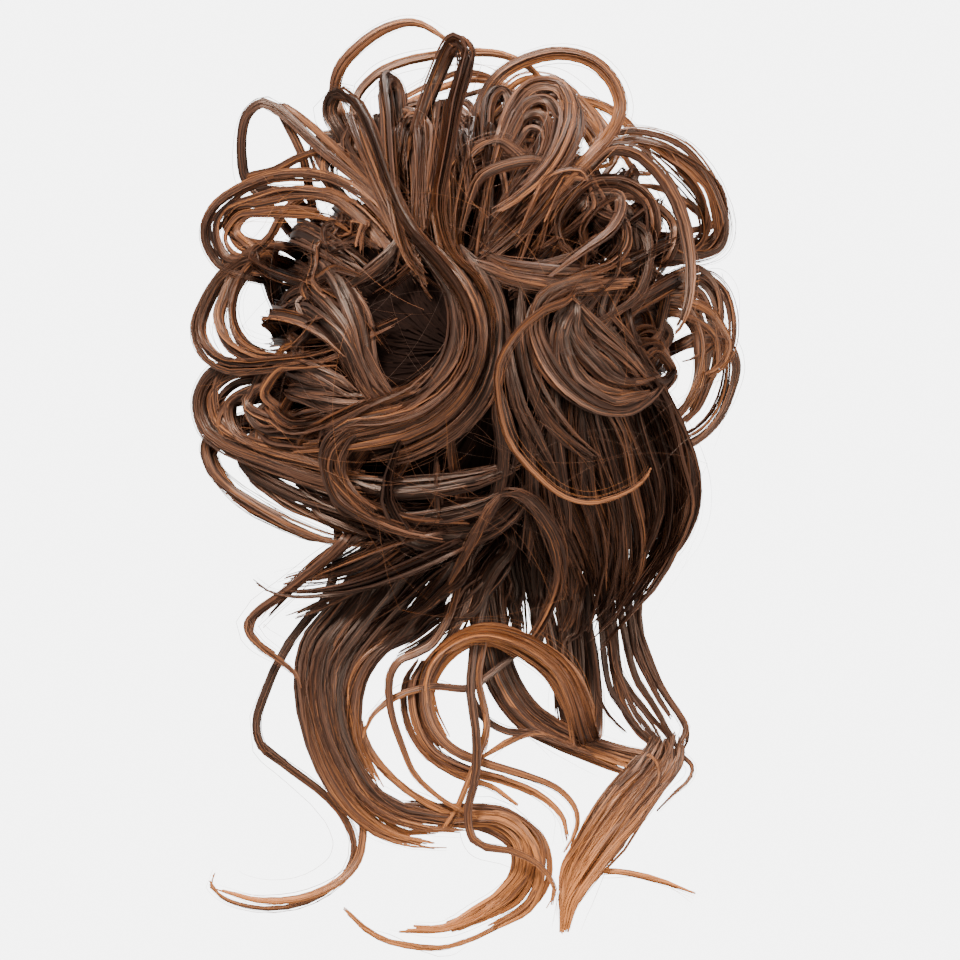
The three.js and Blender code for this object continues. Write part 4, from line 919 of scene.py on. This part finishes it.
# The arches at the upper right: one tall arch, a small spiral inside it, and wide thin loops beside.
# They are stitched to the binding's back half.
make_locks("upper_right_hair", "upper_right_loops", [
    (66, (8, 12, 8), (0.15, 0.4), 1, [(31, 72, -4), (26, 68, 4), (18, 54, 4), (10, 40, 3), (4, 30, 3)]),
    (46, (8, 12, 8), (0.15, 0.4), 1, [(56, 56, -12), (50, 52, -5), (36, 40, -4), (20, 26, -4)]),
    (84, (3.5, 5, 5), (0.45, 0.65), 0.9, [(4, 80, 0), (6, 92, 0), (13, 102, 1), (24, 108, 2), (36, 110, 3),
        (47, 107, 4), (55, 99, 6), (58, 89, 7), (54, 79, 8), (46, 70, 9), (36, 60, 9), (26, 48, 8),
        (18, 38, 7)]),
    (74, (3, 4.5, 7), (0.25, 0.55), 1, [(13, 76, 3), (17, 88, 4), (25, 97, 6), (34, 97, 8), (38, 89, 10),
        (36, 78, 12), (31, 68, 13), (22, 58, 14), (10, 50, 14), (4, 46, 14)]),
    (58, (2.4, 3.4, 4.5), (0.2, 0.45), 1, [(44, 66, 4), (54, 74, 8), (64, 72, 10), (74, 62, 11),
        (80, 50, 11), (83, 36, 11), (83, 22, 11), (79, 9, 11), (71, 2, 11)]),
    (38, (2, 2.4, 2.2), (0.3, 0.55), 0.9, [(74, 42, -8), (88, 40, -8), (94, 46, -7), (92, 58, -6),
        (83, 69, -5), (73, 76, -4), (62, 78, -3), (52, 74, -2), (44, 66, 0)]),
    (30, (2.4, 3, 2.5), (0.3, 0.55), 1, [(72, 34, -4), (86, 34, -3), (95, 38, -2), (97, 46, -1), (94, 57, 0),
        (88, 68, 1), (80, 76, 2), (70, 80, 3), (60, 81, 4), (51, 78, 5), (44, 72, 6)]),
    (64, (6, 9, 6), (0.3, 0.5), 1.2, [(36, 70, -4), (40, 77, 2), (34, 62, 7), (26, 50, 9), (16, 40, 10),
        (6, 32, 10), (-4, 26, 10)]),
    (72, (5, 7, 5), (0.25, 0.45), 1.2, [(25, 74, -4), (29, 80, 2), (24, 62, 7), (16, 50, 8), (8, 40, 9),
        (4, 28, 10)]),
    (78, (2, 2, 2), (0.3, 0.45), 1.2, [(15, 76, 2), (18, 84, 4), (23, 91, 5), (30, 92, 7), (34, 86, 9),
        (32, 76, 11), (27, 66, 12), (18, 58, 12)]),
    (80, (2, 2, 2), (0.25, 0.4), 1.2, [(14, 72, 2), (18, 79, 4), (22, 86, 5), (28, 87, 7), (31, 80, 9),
        (28, 70, 10), (21, 60, 11)]),
    (76, (2, 2, 2), (0.25, 0.4), 1.2, [(16, 70, 1), (20, 76, 3), (24, 81, 4), (28, 79, 6), (27, 71, 8),
        (21, 62, 10), (14, 54, 10)]),
    (48, (5, 6, 4), (0.2, 0.4), 1.3, [(58, 60, -4), (60, 66, 0), (52, 56, 5), (42, 45, 7), (30, 37, 8),
        (18, 31, 9)]),
    (38, (5, 7, 5), (0.15, 0.4), 1.3, [(66, 50, -4), (70, 55, 0), (60, 47, 5), (48, 39, 7), (36, 33, 8)]),
    # This thin outer arc and the two thin loops after it are warmer: partly the hair's copper colour, partly
    # painted light shining through thin hair at the rim.
    (88, (1.5, 2, 1.5), (0.55, 0.75), 1.2, [(-40, 84, -10), (-40, 94, -8), (-33, 102, -7), (-25, 106, -6),
        (-12, 109, -5), (2, 110, -4), (14, 109, -3), (24, 104, -2), (30, 96, 0), (30, 84, 2)]),
    (36, (2, 2.5, 2), (0.4, 0.6), 1.1, [(70, 32, -8), (88, 36, -8), (94, 42, -6), (93, 52, -5), (90, 61, -4),
        (82, 69, -3), (75, 74, -2), (65, 78, -1), (55, 77, 0), (46, 70, 2)]),
    (44, (1.5, 2, 1.5), (0.4, 0.6), 1.2, [(70, 40, -6), (84, 44, -5), (91, 46, -5), (86, 52, -4),
        (80, 56, -2), (70, 60, 0), (58, 60, 3)]),
    (70, (2, 3, 2), (0.2, 0.45), 1.4, [(16, 78, -2), (22, 92, 0), (33, 97, 3), (39, 91, 5), (41, 83, 7),
        (39, 74, 9), (34, 65, 10), (27, 56, 11), (18, 47, 11)]),
] + filler(20, (28, 88), (70, 86), (8, 30), (-16, 2), (1.5, 3), (0.25, 0.5), (30, 60))
+ between(5,
    (34, (0.35, 0.6), [(72, 36, -8), (88, 37, -7), (94, 45, -6), (91, 58, -5), (83, 68, -4), (72, 75, -3),
        (60, 77, -2), (50, 73, 0), (40, 64, 2)]),
    (44, (0.3, 0.5), [(70, 42, -6), (82, 36, -4), (86, 44, -2), (82, 56, 0), (74, 66, 2), (64, 72, 4),
        (54, 71, 5), (44, 62, 6)]), (0.8, 1.3), 1.5, 1.1), "back")

# The inner curls at the right: a domed curl, and a thin copper one that crosses the bun's front.
# They are stitched to the binding's front half.
make_locks("inner_right_hair", "inner_right_curls", [
    (40, (6, 8.5, 7), (0.2, 0.45), 1.1, [(68, 44, 2), (66, 54, 4), (56, 61, 6), (45, 60, 7), (38, 53, 8),
        (34, 45, 8), (37, 36, 9), (46, 31, 9)]),
    (52, (1.6, 2.2, 1.4), (0.35, 0.7), 0.8, [(44, 42, 6), (43, 30, 11), (38, 18, 16), (28, 13.5, 20),
        (17.6, 4, 23), (12, -6.6, 24), (12, -18.7, 24), (16, -33.7, 24), (25.6, -45.8, 24), (36, -53.8, 23),
        (46, -56, 22), (55, -53.8, 20), (64.5, -48.4, 18), (70, -40, 14)]),
    (44, (3, 4, 3), (0.2, 0.45), 1.3, [(70, 46, 0), (66, 56, 2), (58, 61, 4), (48, 62, 5), (38, 58, 6),
        (30, 50, 7), (24, 40, 8)]),
    (36, (3, 4, 3), (0.2, 0.5), 1.4, [(74, 34, 2), (76, 46, 3), (68, 54, 5), (56, 56, 6), (46, 50, 7),
        (42, 42, 8), (46, 34, 8), (54, 30, 8)]),
] + filler(12, (22, 60), (68, 80), (10, 30), (-4, 6), (2, 3.5), (0.1, 0.4), (30, 55)), "front")

# The loops at the right: thin airy curls that stand off the bun's side.
# They are stitched to the binding's back half.
make_locks("right_hair", "right_loops", [
    (14, (2, 2.8, 2.2), (0.3, 0.55), 1, [(80, 24, -8), (90, 27, -7), (96, 22, -6), (99, 12, -4), (98, 1, -3),
        (92, -7, -1), (88, -9, -3)]),
    (6, (1.8, 2.4, 1.8), (0.3, 0.55), 1, [(76, 14, -5), (84, 12, -4), (92, 5, -3), (93, -6, -2),
        (89, -14, -4)]),
    (-2, (2.4, 3.4, 2.8), (0.25, 0.5), 1, [(84, 4, -6), (96, 3, -5), (100, -5, -4), (98, -16, -3),
        (93, -26, -2), (86, -33, -2), (76, -38, -3), (66, -42, -4)]),
    (24, (5, 7, 5), (0.15, 0.35), 1.3, [(72, 36, -4), (78, 40, 0), (66, 35, 5), (52, 28, 8), (42, 20, 9)]),
    (16, (4, 6, 4), (0.15, 0.4), 1.3, [(74, 24, -4), (79, 27, 0), (70, 22, 5), (58, 14, 8), (50, 5, 9)]),
    # These three airy loops are warmer: partly the hair's copper colour, partly painted light shining through
    # thin hair at the rim.
    (10, (2, 2, 2), (0.4, 0.6), 1.5, [(80, 18, -6), (90, 14, -5), (95, 7, -4), (97, 2, -3), (94, -6, -2),
        (86, -10, 0)]),
    (0, (2, 2.5, 2), (0.35, 0.55), 1.5, [(80, 2, -8), (90, 8, -7), (96, 4, -6), (97, -6, -5), (95, -17, -4),
        (90, -26, -3), (82, -32, -2), (72, -34, 0)]),
    (18, (2, 2.5, 2), (0.35, 0.55), 1.5, [(78, 28, -8), (86, 30, -8), (92, 24, -7), (94, 14, -6),
        (92, 4, -5), (86, -2, -3), (80, -4, -2)]),
] + filler(14, (-28, 30), (68, 80), (8, 24), (-16, 0), (2, 3.2), (0.15, 0.45), (40, 60))
+ between(7,
    (16, (0.3, 0.5), [(78, 26, -8), (88, 26, -7), (93, 18, -6), (95, 6, -5), (93, -8, -4), (88, -20, -3),
        (80, -28, -2), (70, -34, 0)]),
    (4, (0.3, 0.5), [(74, 14, -6), (80, 12, -5), (84, 4, -4), (85, -6, -3), (82, -16, -2), (76, -24, -1),
        (68, -28, 0), (60, -30, 2)]), (1, 1.8), 1, 1.1), "back")

# The curl on the right of the front: it wraps the drape's edge and coils in to the bun's middle.
# It is stitched to the binding's front half.
make_locks("front_curl_hair", "front_curl", [
    (None, (4, 9.5, 6), (0.2, 0.45), 1.1, [(72, -13, 11), (68, -17, 14), (62, -20.5, 15), (56, -22, 16),
        (46, -20, 17), (36, -13, 17), (29, -4, 17), (25, 8, 16), (28, 18, 15), (37, 23, 15), (48, 25, 14),
        (58, 27, 13)]),
    (-12, (3, 4, 3), (0.15, 0.4), 1.4, [(76, -8, 4), (72, -12, 9), (64, -8, 12), (57, 0, 13), (48, 8, 14),
        (38, 18, 14), (28, 22, 13)]),
    (-20, (3, 4, 3), (0.15, 0.4), 1.4, [(74, -22, 4), (70, -20, 9), (60, -14, 12), (52, -4, 13), (44, 2, 13),
        (36, 14, 13)]),
], "front")

# The drape: dark wide locks that fall from the bun's front to its lower right.
# They are stitched to the binding's front half.
make_locks("drape_hair", "right_drape", [
    (19.7, (6.5, 14, 9), (0.15, 0.35), 1.1, [(50, 14, 2), (38, -2, 3), (32, -20, 4), (30, -40, 4),
        (32, -60, 4), (36, -78, 3), (38, -94, 3)]),
    (26, (6, 8.5, 7), (0.15, 0.38), 1.1, [(54, 24, 6), (50, 12, 8), (58, 2, 8), (66, -9, 8), (73, -20, 8),
        (80, -34, 8), (84, -48, 8), (83.5, -60, 7), (78, -72, 6), (69, -81, 5), (62, -92, 4)]),
    (12.3, (7, 14.5, 9.5), (0.15, 0.35), 1.1, [(56, 10, 3), (46, -4, 5), (46, -20, 6), (50, -38, 6),
        (55, -58, 6), (54, -76, 5), (50, -92, 4), (46, -106, 3)]),
    (4, (7, 14.5, 8.5), (0.15, 0.35), 1.1, [(64, -4, 3), (62, -16, 5), (66, -32, 5), (71, -48, 5),
        (70, -64, 5), (64, -78, 4), (56, -92, 3), (48, -103, 2)]),
] + between(10,
    (24, (0.12, 0.32), [(54, 22, 2), (56, 8, 5), (66, -9, 6), (76, -26, 6), (82, -44, 6), (82, -60, 5),
        (77, -74, 4), (66, -88, 3), (56, -101, 2), (46, -113, 2)]),
    (14, (0.12, 0.32), [(56, 6, 2), (60, -6, 5), (64, -22, 5), (69, -40, 5), (71, -56, 5), (67, -72, 4),
        (58, -86, 3), (49, -98, 2), (40, -108, 2)]), (5, 7))
+ between(22,
    (24, (0.15, 0.35), [(54, 22, 2), (54, 6, 4), (66, -10, 4), (78, -32, 4), (83, -52, 4), (78, -70, 3),
        (66, -84, 2), (55, -98, 2)]),
    (-14, (0.15, 0.35), [(34, -8, 4), (28, -24, 6), (24, -42, 6), (24, -58, 5), (30, -74, 4), (38, -88, 3),
        (44, -100, 3), (50, -112, 3)]), (5, 7.5)), "front")

# The golden ribbon: one light lock that falls from the middle of the front.
# It is stitched to the binding's front half.
make_locks("ribbon_hair", "golden_ribbon", [
    (None, (4, 5, 3.5), (0.3, 0.5), 1.1, [(12, -53, 11), (16, -52.5, 13), (21.6, -54, 15), (28, -60, 15),
        (33.6, -69, 14), (35.6, -79.5, 13), (33, -91, 12), (27, -103, 11), (21, -110, 10)]),
    (None, (1.5, 2.4, 1.5), (0.3, 0.5), 1.2, [(14, -52, 11), (9, -58, 12), (5, -66, 12), (0, -75, 11),
        (-6, -86, 9)]),
], "front")

# The sweep: wide locks under the bun that flick out to the left, and a kinked loop below them.
# They are stitched to the binding's front half.
make_locks("sweep_hair", "lower_left_sweep", [
    (262, (10.5, 11.5, 4), (0.15, 0.4), 1.1, [(-4, -70, 6), (-18, -77, 9), (-34, -84, 10), (-50, -88, 10),
        (-64, -89, 10), (-73, -87, 9), (-80, -81, 8)]),
    (248, (8, 10.5, 4), (0.15, 0.4), 1.1, [(-28, -70, 7), (-38, -77, 8), (-52, -82, 8), (-64, -84, 8),
        (-72, -87, 8)]),
    (236, (4, 5, 4), (0.25, 0.55), 1, [(-44, -70, 8), (-55, -80, 9), (-66, -89, 9), (-76, -96, 8),
        (-80, -101, 8), (-77, -107, 8), (-69, -113, 8), (-62, -119, 7), (-60, -125, 6)]),
    (258, (6, 7, 3), (0.1, 0.35), 1.2, [(-10, -66, 5), (-26, -70, 8), (-42, -76, 9), (-56, -82, 9),
        (-66, -86, 8)]),
    (244, (5, 6, 3), (0.12, 0.4), 1.2, [(-34, -66, 4), (-48, -74, 6), (-60, -84, 6), (-70, -94, 6),
        (-76, -102, 5)]),
    (252, (5, 7, 3), (0.1, 0.35), 1.2, [(-20, -74, 4), (-36, -84, 6), (-50, -92, 7), (-62, -97, 6),
        (-70, -99, 5)]),
] + filler(10, (225, 275), (64, 76), (10, 30), (-4, 6), (2.5, 4), (0.1, 0.35)), "front")

# The left tendril: one thin lock that hangs apart and turns back in an open curl at its copper tip.
# It is stitched to the binding's back half.
make_locks("left_tendril_hair", "left_tendril", [
    (228, (3.8, 2.8, 1.4), (0.1, 0.95), 0.9, [(-47, -76, -2), (-52, -92, 0), (-60, -101, 0), (-67, -111, 1),
        (-73, -124, 2), (-77, -137, 2), (-75, -146, 2), (-66, -153, 2), (-55, -161, 2), (-46, -170, 2),
        (-41, -181, 3), (-43, -191, 4), (-51, -199, 5), (-62, -204, 6), (-76, -205, 7), (-89, -201, 8),
        (-94, -195, 8), (-88, -190, 7)]),
    (None, (1.4, 2, 0.8), (0.5, 1), 1, [(-44, -158, 3), (-39, -168, 3), (-37.7, -176, 4), (-39.6, -187.5, 5),
        (-46.5, -195.6, 6), (-60, -201.6, 7), (-76, -202.5, 7), (-92, -198, 8)]),
], "back", True)

# The main tendrils: dark locks that hang in one bundle and turn copper where they curl.
# They are stitched to the binding's back half.
make_locks("main_tendril_hair", "main_tendrils", [
    (240, (7.5, 7.5, 4.5), (0, 0.9), 1.1, [(-36, -76, 0), (-46, -94, 2), (-57, -108, 3), (-59.5, -124, 4),
        (-57, -140, 4), (-51, -156, 4), (-42, -169, 5), (-30, -178, 6), (-16, -182, 8), (-1, -182, 9)]),
    (247, (7.5, 6, 4.5), (0, 0.9), 1.1, [(-30, -80, 1), (-40, -97, 3), (-50, -109, 5), (-53, -123, 6),
        (-51, -138, 7), (-45, -153, 8), (-36, -166, 8), (-24, -173, 9), (-8, -176, 9), (10, -175, 8)]),
    (254, (7.5, 4.5, 1.4), (0, 0.95), 1.2, [(-20, -84, 1), (-30, -100, 3), (-41, -110, 5), (-46, -122, 7),
        (-46, -136, 8), (-41, -151, 8), (-33, -163, 8), (-20, -170, 8), (-4, -172, 8), (12, -173, 7),
        (21, -180, 6), (24, -189, 4), (19, -199, 3), (8, -208, 2), (-6, -214, 2), (-18, -214, 2)]),
    (260, (7.5, 5, 4), (0, 0.8), 1.1, [(-10, -88, 1), (-18, -101, 3), (-31, -108, 4), (-39, -120, 5),
        (-41, -134, 5), (-38, -149, 5), (-30, -163, 6)]),
    (None, (1.2, 1.5, 1), (0.8, 1), 1, [(-45, -205, 2), (-38, -212, 2), (-30, -217, 2), (-18, -220, 2),
        (-8, -220, 2), (0, -217, 2)]),
] + between(14,
    (242, (0, 0.9), [(-30, -72, 0), (-44, -92, 1), (-55, -107, 2), (-58, -124, 2), (-55, -140, 2),
        (-49, -156, 2), (-38, -170, 3), (-22, -179, 4), (-4, -180, 5)]),
    (268, (0, 0.7), [(2, -72, 4), (-6, -88, 5), (-20, -102, 5), (-36, -112, 5), (-42, -124, 5),
        (-42, -138, 5), (-38, -152, 5), (-30, -164, 5), (-16, -172, 5)]), (2.5, 4))
+ between(15,
    (None, (0.5, 1.0), [(-30, -168, 6), (-10, -174, 7), (8, -175, 7), (16, -181, 6), (17, -190, 4),
        (11, -199, 3), (2, -206, 2), (-8, -211, 2), (-20, -212, 2)]),
    (None, (0.5, 1.0), [(-20, -166, 6), (-2, -169, 7), (17, -170, 7), (29, -179, 6), (32, -193, 4),
        (27, -204, 3), (13, -213, 2), (-8, -220, 2), (-34, -218, 2)]), (0.7, 1.3), 1, 1.5)
+ between(8,
    (270, (0.08, 0.3), [(4, -66, 6), (-6, -80, 7), (-20, -92, 7), (-36, -102, 6), (-48, -112, 4)]),
    (290, (0.08, 0.3), [(22, -64, 4), (16, -80, 4), (6, -94, 4), (-8, -104, 4), (-24, -112, 4)]),
    (3, 5)), "back", True)

# The inner curls: thin copper locks that hang in front of the bundle.
# They are stitched to the binding's front half.
make_locks("inner_curl_hair", "inner_curls", [
    (272, (2, 1.8, 1.4), (0.3, 0.9), 0.9, [(-1, -80, 4), (-6, -98, 12), (-12, -108, 13), (-18, -111.5, 13),
        (-24, -114, 13), (-27.3, -119, 13), (-28, -126, 13), (-26.4, -136, 13), (-22.7, -146.5, 13),
        (-18.3, -156, 13), (-7, -166, 13), (6, -172, 12)]),
    (277, (2.4, 2.2, 1.8), (0.3, 0.9), 0.9, [(4, -82, 4), (-2, -100, 8), (-10, -112, 10), (-15, -124, 10),
        (-13, -137, 10), (-5, -147, 10), (10, -153, 10), (24, -157, 10), (35, -162, 10), (41, -170, 10),
        (40, -179, 10), (35, -187, 10)]),
    (282, (2.6, 2.2, 1.8), (0.15, 0.95), 0.9, [(9, -84, 4), (4, -106, 8), (2, -125, 12), (4, -140, 15),
        (4, -156, 15), (1, -170, 15), (4, -181, 14), (17, -184, 13), (28, -190, 12), (33, -200, 12),
        (27, -209, 12)]),
    (None, (2.4, 1.6, 0.8), (0.15, 0.8), 0.8, [(22, -109, 6), (12, -117, 8), (2, -124, 10),
        (-12, -123.5, 10), (-25, -127, 10), (-34, -134, 10), (-38, -143, 10)]),
    (None, (1.6, 2, 1.6), (0.2, 0.5), 0.9, [(1, -122, 9), (6, -134, 8), (15, -140, 7), (26, -141, 6),
        (37, -145, 4), (48, -149, 3)]),
    (None, (0.8, 1.2, 0.8), (0.75, 0.5), 0.9, [(4, -151, 9), (14, -145, 8), (24, -141, 6), (34, -143, 5)]),
    (None, (1, 1.2, 1), (0.5, 0.9), 1, [(-37, -136, 9), (-36.5, -144, 9), (-31, -153, 9), (-24, -160, 9),
        (-12, -168, 9), (4, -173, 9)]),
    (None, (0.8, 1, 0.8), (0.5, 0.9), 1, [(-38, -140, 8), (-34, -150, 8), (-26, -158, 8), (-16, -165, 8),
        (0, -171, 8)]),
    (None, (2.4, 2.6, 1.6), (0.4, 0.95), 1, [(-14, -112, 8), (-19, -122, 8), (-18, -136, 8), (-12, -147, 8),
        (0, -154, 8), (14, -158, 8), (28, -164, 8), (36, -172, 8), (38, -182, 8)]),
    (None, (1.4, 1.6, 1.2), (0.4, 0.9), 1, [(-17, -113, 6), (-22, -122, 6), (-22, -134, 6), (-16, -147, 6),
        (-4, -156, 6), (10, -161, 6), (20, -168, 6)]),
    (None, (1, 1.2, 1), (0.4, 0.9), 1, [(8, -104, 10), (5, -120, 10), (8, -138, 10), (3, -154, 10),
        (-3, -168, 10), (-8, -176, 10)]),
], "front", True)

# The middle tendrils: short dark locks behind the amber curl, and one that curves to the right spike.
# They are stitched to the binding's back half.
make_locks("center_hair", "center_tendrils", [
    (272, (9, 5, 4), (0.12, 0.35), 1, [(4, -84, -2), (8, -102, -2), (10, -116, -3), (15, -128, -3),
        (24, -138, -3), (36, -143.5, -3)]),
    (282, (9, 7, 4), (0.12, 0.35), 1, [(24, -84, -1), (31, -102, -2), (34.5, -120, -3), (35, -134, -4),
        (38, -146, -5)]),
    (276, (8, 9, 6), (0.12, 0.35), 1.1, [(14, -76, -1), (18, -90, -2), (20, -102, -2), (22, -112, -2)]),
    (280, (8, 9, 6), (0.12, 0.35), 1.1, [(22, -76, -1), (26, -90, -2), (28, -104, -2), (29, -116, -2)]),
] + between(15,
    (270, (0.1, 0.35), [(-6, -62, 0), (-3, -76, 0), (0, -90, 0), (3, -100, 0), (6, -107, 0)]),
    (292, (0.1, 0.35), [(54, -62, 0), (56, -76, 0), (54, -90, 0), (48, -102, 0), (42, -114, 0)]),
        (4, 6))
+ between(9,
    (276, (0.05, 0.6), [(8, -66, 0), (13, -90, 0), (15, -112, 0), (21, -128, 0), (33, -138, 0),
        (48, -144, 0), (62, -148, 1), (74, -151, 3), (74, -158, 5), (64, -169, 6)]),
    (272, (0.1, 0.7), [(-2, -66, 0), (3, -94, 0), (8, -120, 0), (17, -135, 0), (31, -144, 0), (45, -150, 0),
        (57, -154.5, 1), (66, -159, 3), (63, -166, 5), (54, -178, 6)]),
    (2.4, 3.6), 0.6, 1.1)
+ between(5,
    (284, (0.05, 0.3), [(32, -80, -2), (34, -100, -3), (34, -116, -3), (34, -132, -3), (37, -144, -3)]),
    (286, (0.05, 0.3), [(40, -80, -2), (43, -100, -3), (44, -116, -3), (45, -132, -3), (47, -145, -3)]),
        (3, 4.5), 0.6, 1.1), "back", True)

# The amber curl: a lock that hangs behind the others, and comes up again in a wide copper arch.
# It is stitched to the binding's back half.
make_locks("amber_hair", "amber_curl", [
    (296, (5, 10, 4), (0.3, 1), 0.9, [(36, -84, -8), (44, -106, -10), (46, -124, -10), (46, -137, -6),
        (45, -143, 3), (43, -138, 11), (40, -128, 14), (35, -118, 14), (27, -111, 14), (17, -106, 14),
        (6, -104, 14), (-4, -107, 15), (-12, -114, 16), (-15, -122, 16), (-14, -131, 16)]),
] + between(9,
    (None, (0.8, 0.7), [(-9, -148, 4), (-15, -139, 4), (-17, -129, 4), (-16, -119, 5), (-9, -109, 6),
        (-3, -104, 7), (8, -102, 8), (20, -104, 8), (31, -110, 8), (40, -119, 7), (46, -128, 6),
        (49, -138, 5), (48, -145, 4)]),
    (None, (0.8, 0.65), [(-4, -146, 4), (-11, -138, 4), (-13, -129, 4), (-12, -121, 5), (-6, -112, 6),
        (-2, -108, 7), (7, -106.5, 8), (16, -108, 8), (24, -113, 8), (31, -121, 7), (36.5, -131, 6),
        (39, -140, 5), (39, -146, 4)]),
    (2, 3), 0.8), "back", True)

# The right tendrils: a fan of dark locks that meet and turn back in one copper spike.
# They are stitched to the binding's back half.
make_locks("right_tendril_hair", "right_tendrils", [
    (306, (2, 2.6, 3), (0.1, 1), 0.9, [(46, -76, -4), (52, -98, -4), (55, -116, -4), (58, -130, -3),
        (64, -140, -2), (72, -147, 0), (75, -153, 2), (71, -160, 3), (62, -170, 4), (52, -183, 4),
        (44, -195, 4), (38, -206, 4), (36, -214, 4)]),
    (None, (4, 12, 3), (0.3, 1), 1, [(74, -141, 1), (76, -149, 2), (72, -157, 3), (62, -169, 4),
        (52, -182, 4), (44, -194, 4), (38, -205, 4), (36, -214, 4)]),
    (316, (1.4, 1.6, 1.4), (0.1, 0.6), 1, [(58, -72, -3), (61, -96, -2), (64, -104, -2), (70, -120, -2),
        (78, -132, -1), (82, -139, 0), (79, -147, 1), (84, -153, 1), (83, -158, 2), (76, -164, 3),
        (68, -173, 3)]),
    (314, (3, 2, 2), (0.1, 0.4), 0.9, [(50, -70, -3), (53, -90, -2), (55, -105, -2), (56, -118, -2),
        (64, -130, -2), (73.5, -141, -2), (78, -148, -1)]),
    (322, (3, 2.2, 2), (0.1, 0.4), 0.9, [(62, -70, -2), (64, -88, -2), (64, -102, -2), (68, -114, -2),
        (73, -125, -2), (79, -134, -2), (82, -142, -2), (78, -151, 0)]),
    (None, (0.4, 0.5, 0.3), (0.9, 1.1), 1.6, [(43, -192, 4), (55, -192, 4), (70, -195, 4), (85, -200, 4)]),
] + between(6,
    (290, (0.1, 0.3), [(58, -80, 0), (60, -98, 0), (62, -108, 0), (67, -121, 0), (75, -134, 0),
        (80, -142, 0), (78, -150, 0)]),
    (280, (0.1, 0.3), [(44, -84, 0), (46, -100, 0), (48, -115, 0), (50.5, -128, 0), (55, -137, 0),
        (64, -144, 0), (73, -149, 0)]), (1.2, 2), 0.7, 0.9)
+ between(14,
    (None, (0.4, 1.05), [(70, -142, 1), (66, -149, 2), (60, -156, 3), (50, -166, 4), (42, -178, 5),
        (36.5, -190, 6), (34, -200, 6), (35.5, -214, 6)]),
    (None, (0.4, 1.05), [(80, -142, 1), (80, -150, 2), (77, -156, 3), (70, -164, 4), (60, -178, 5),
        (49, -190, 6), (41, -200, 6), (36.5, -214, 6)]), (1.6, 2.6), 0.8), "back", True)
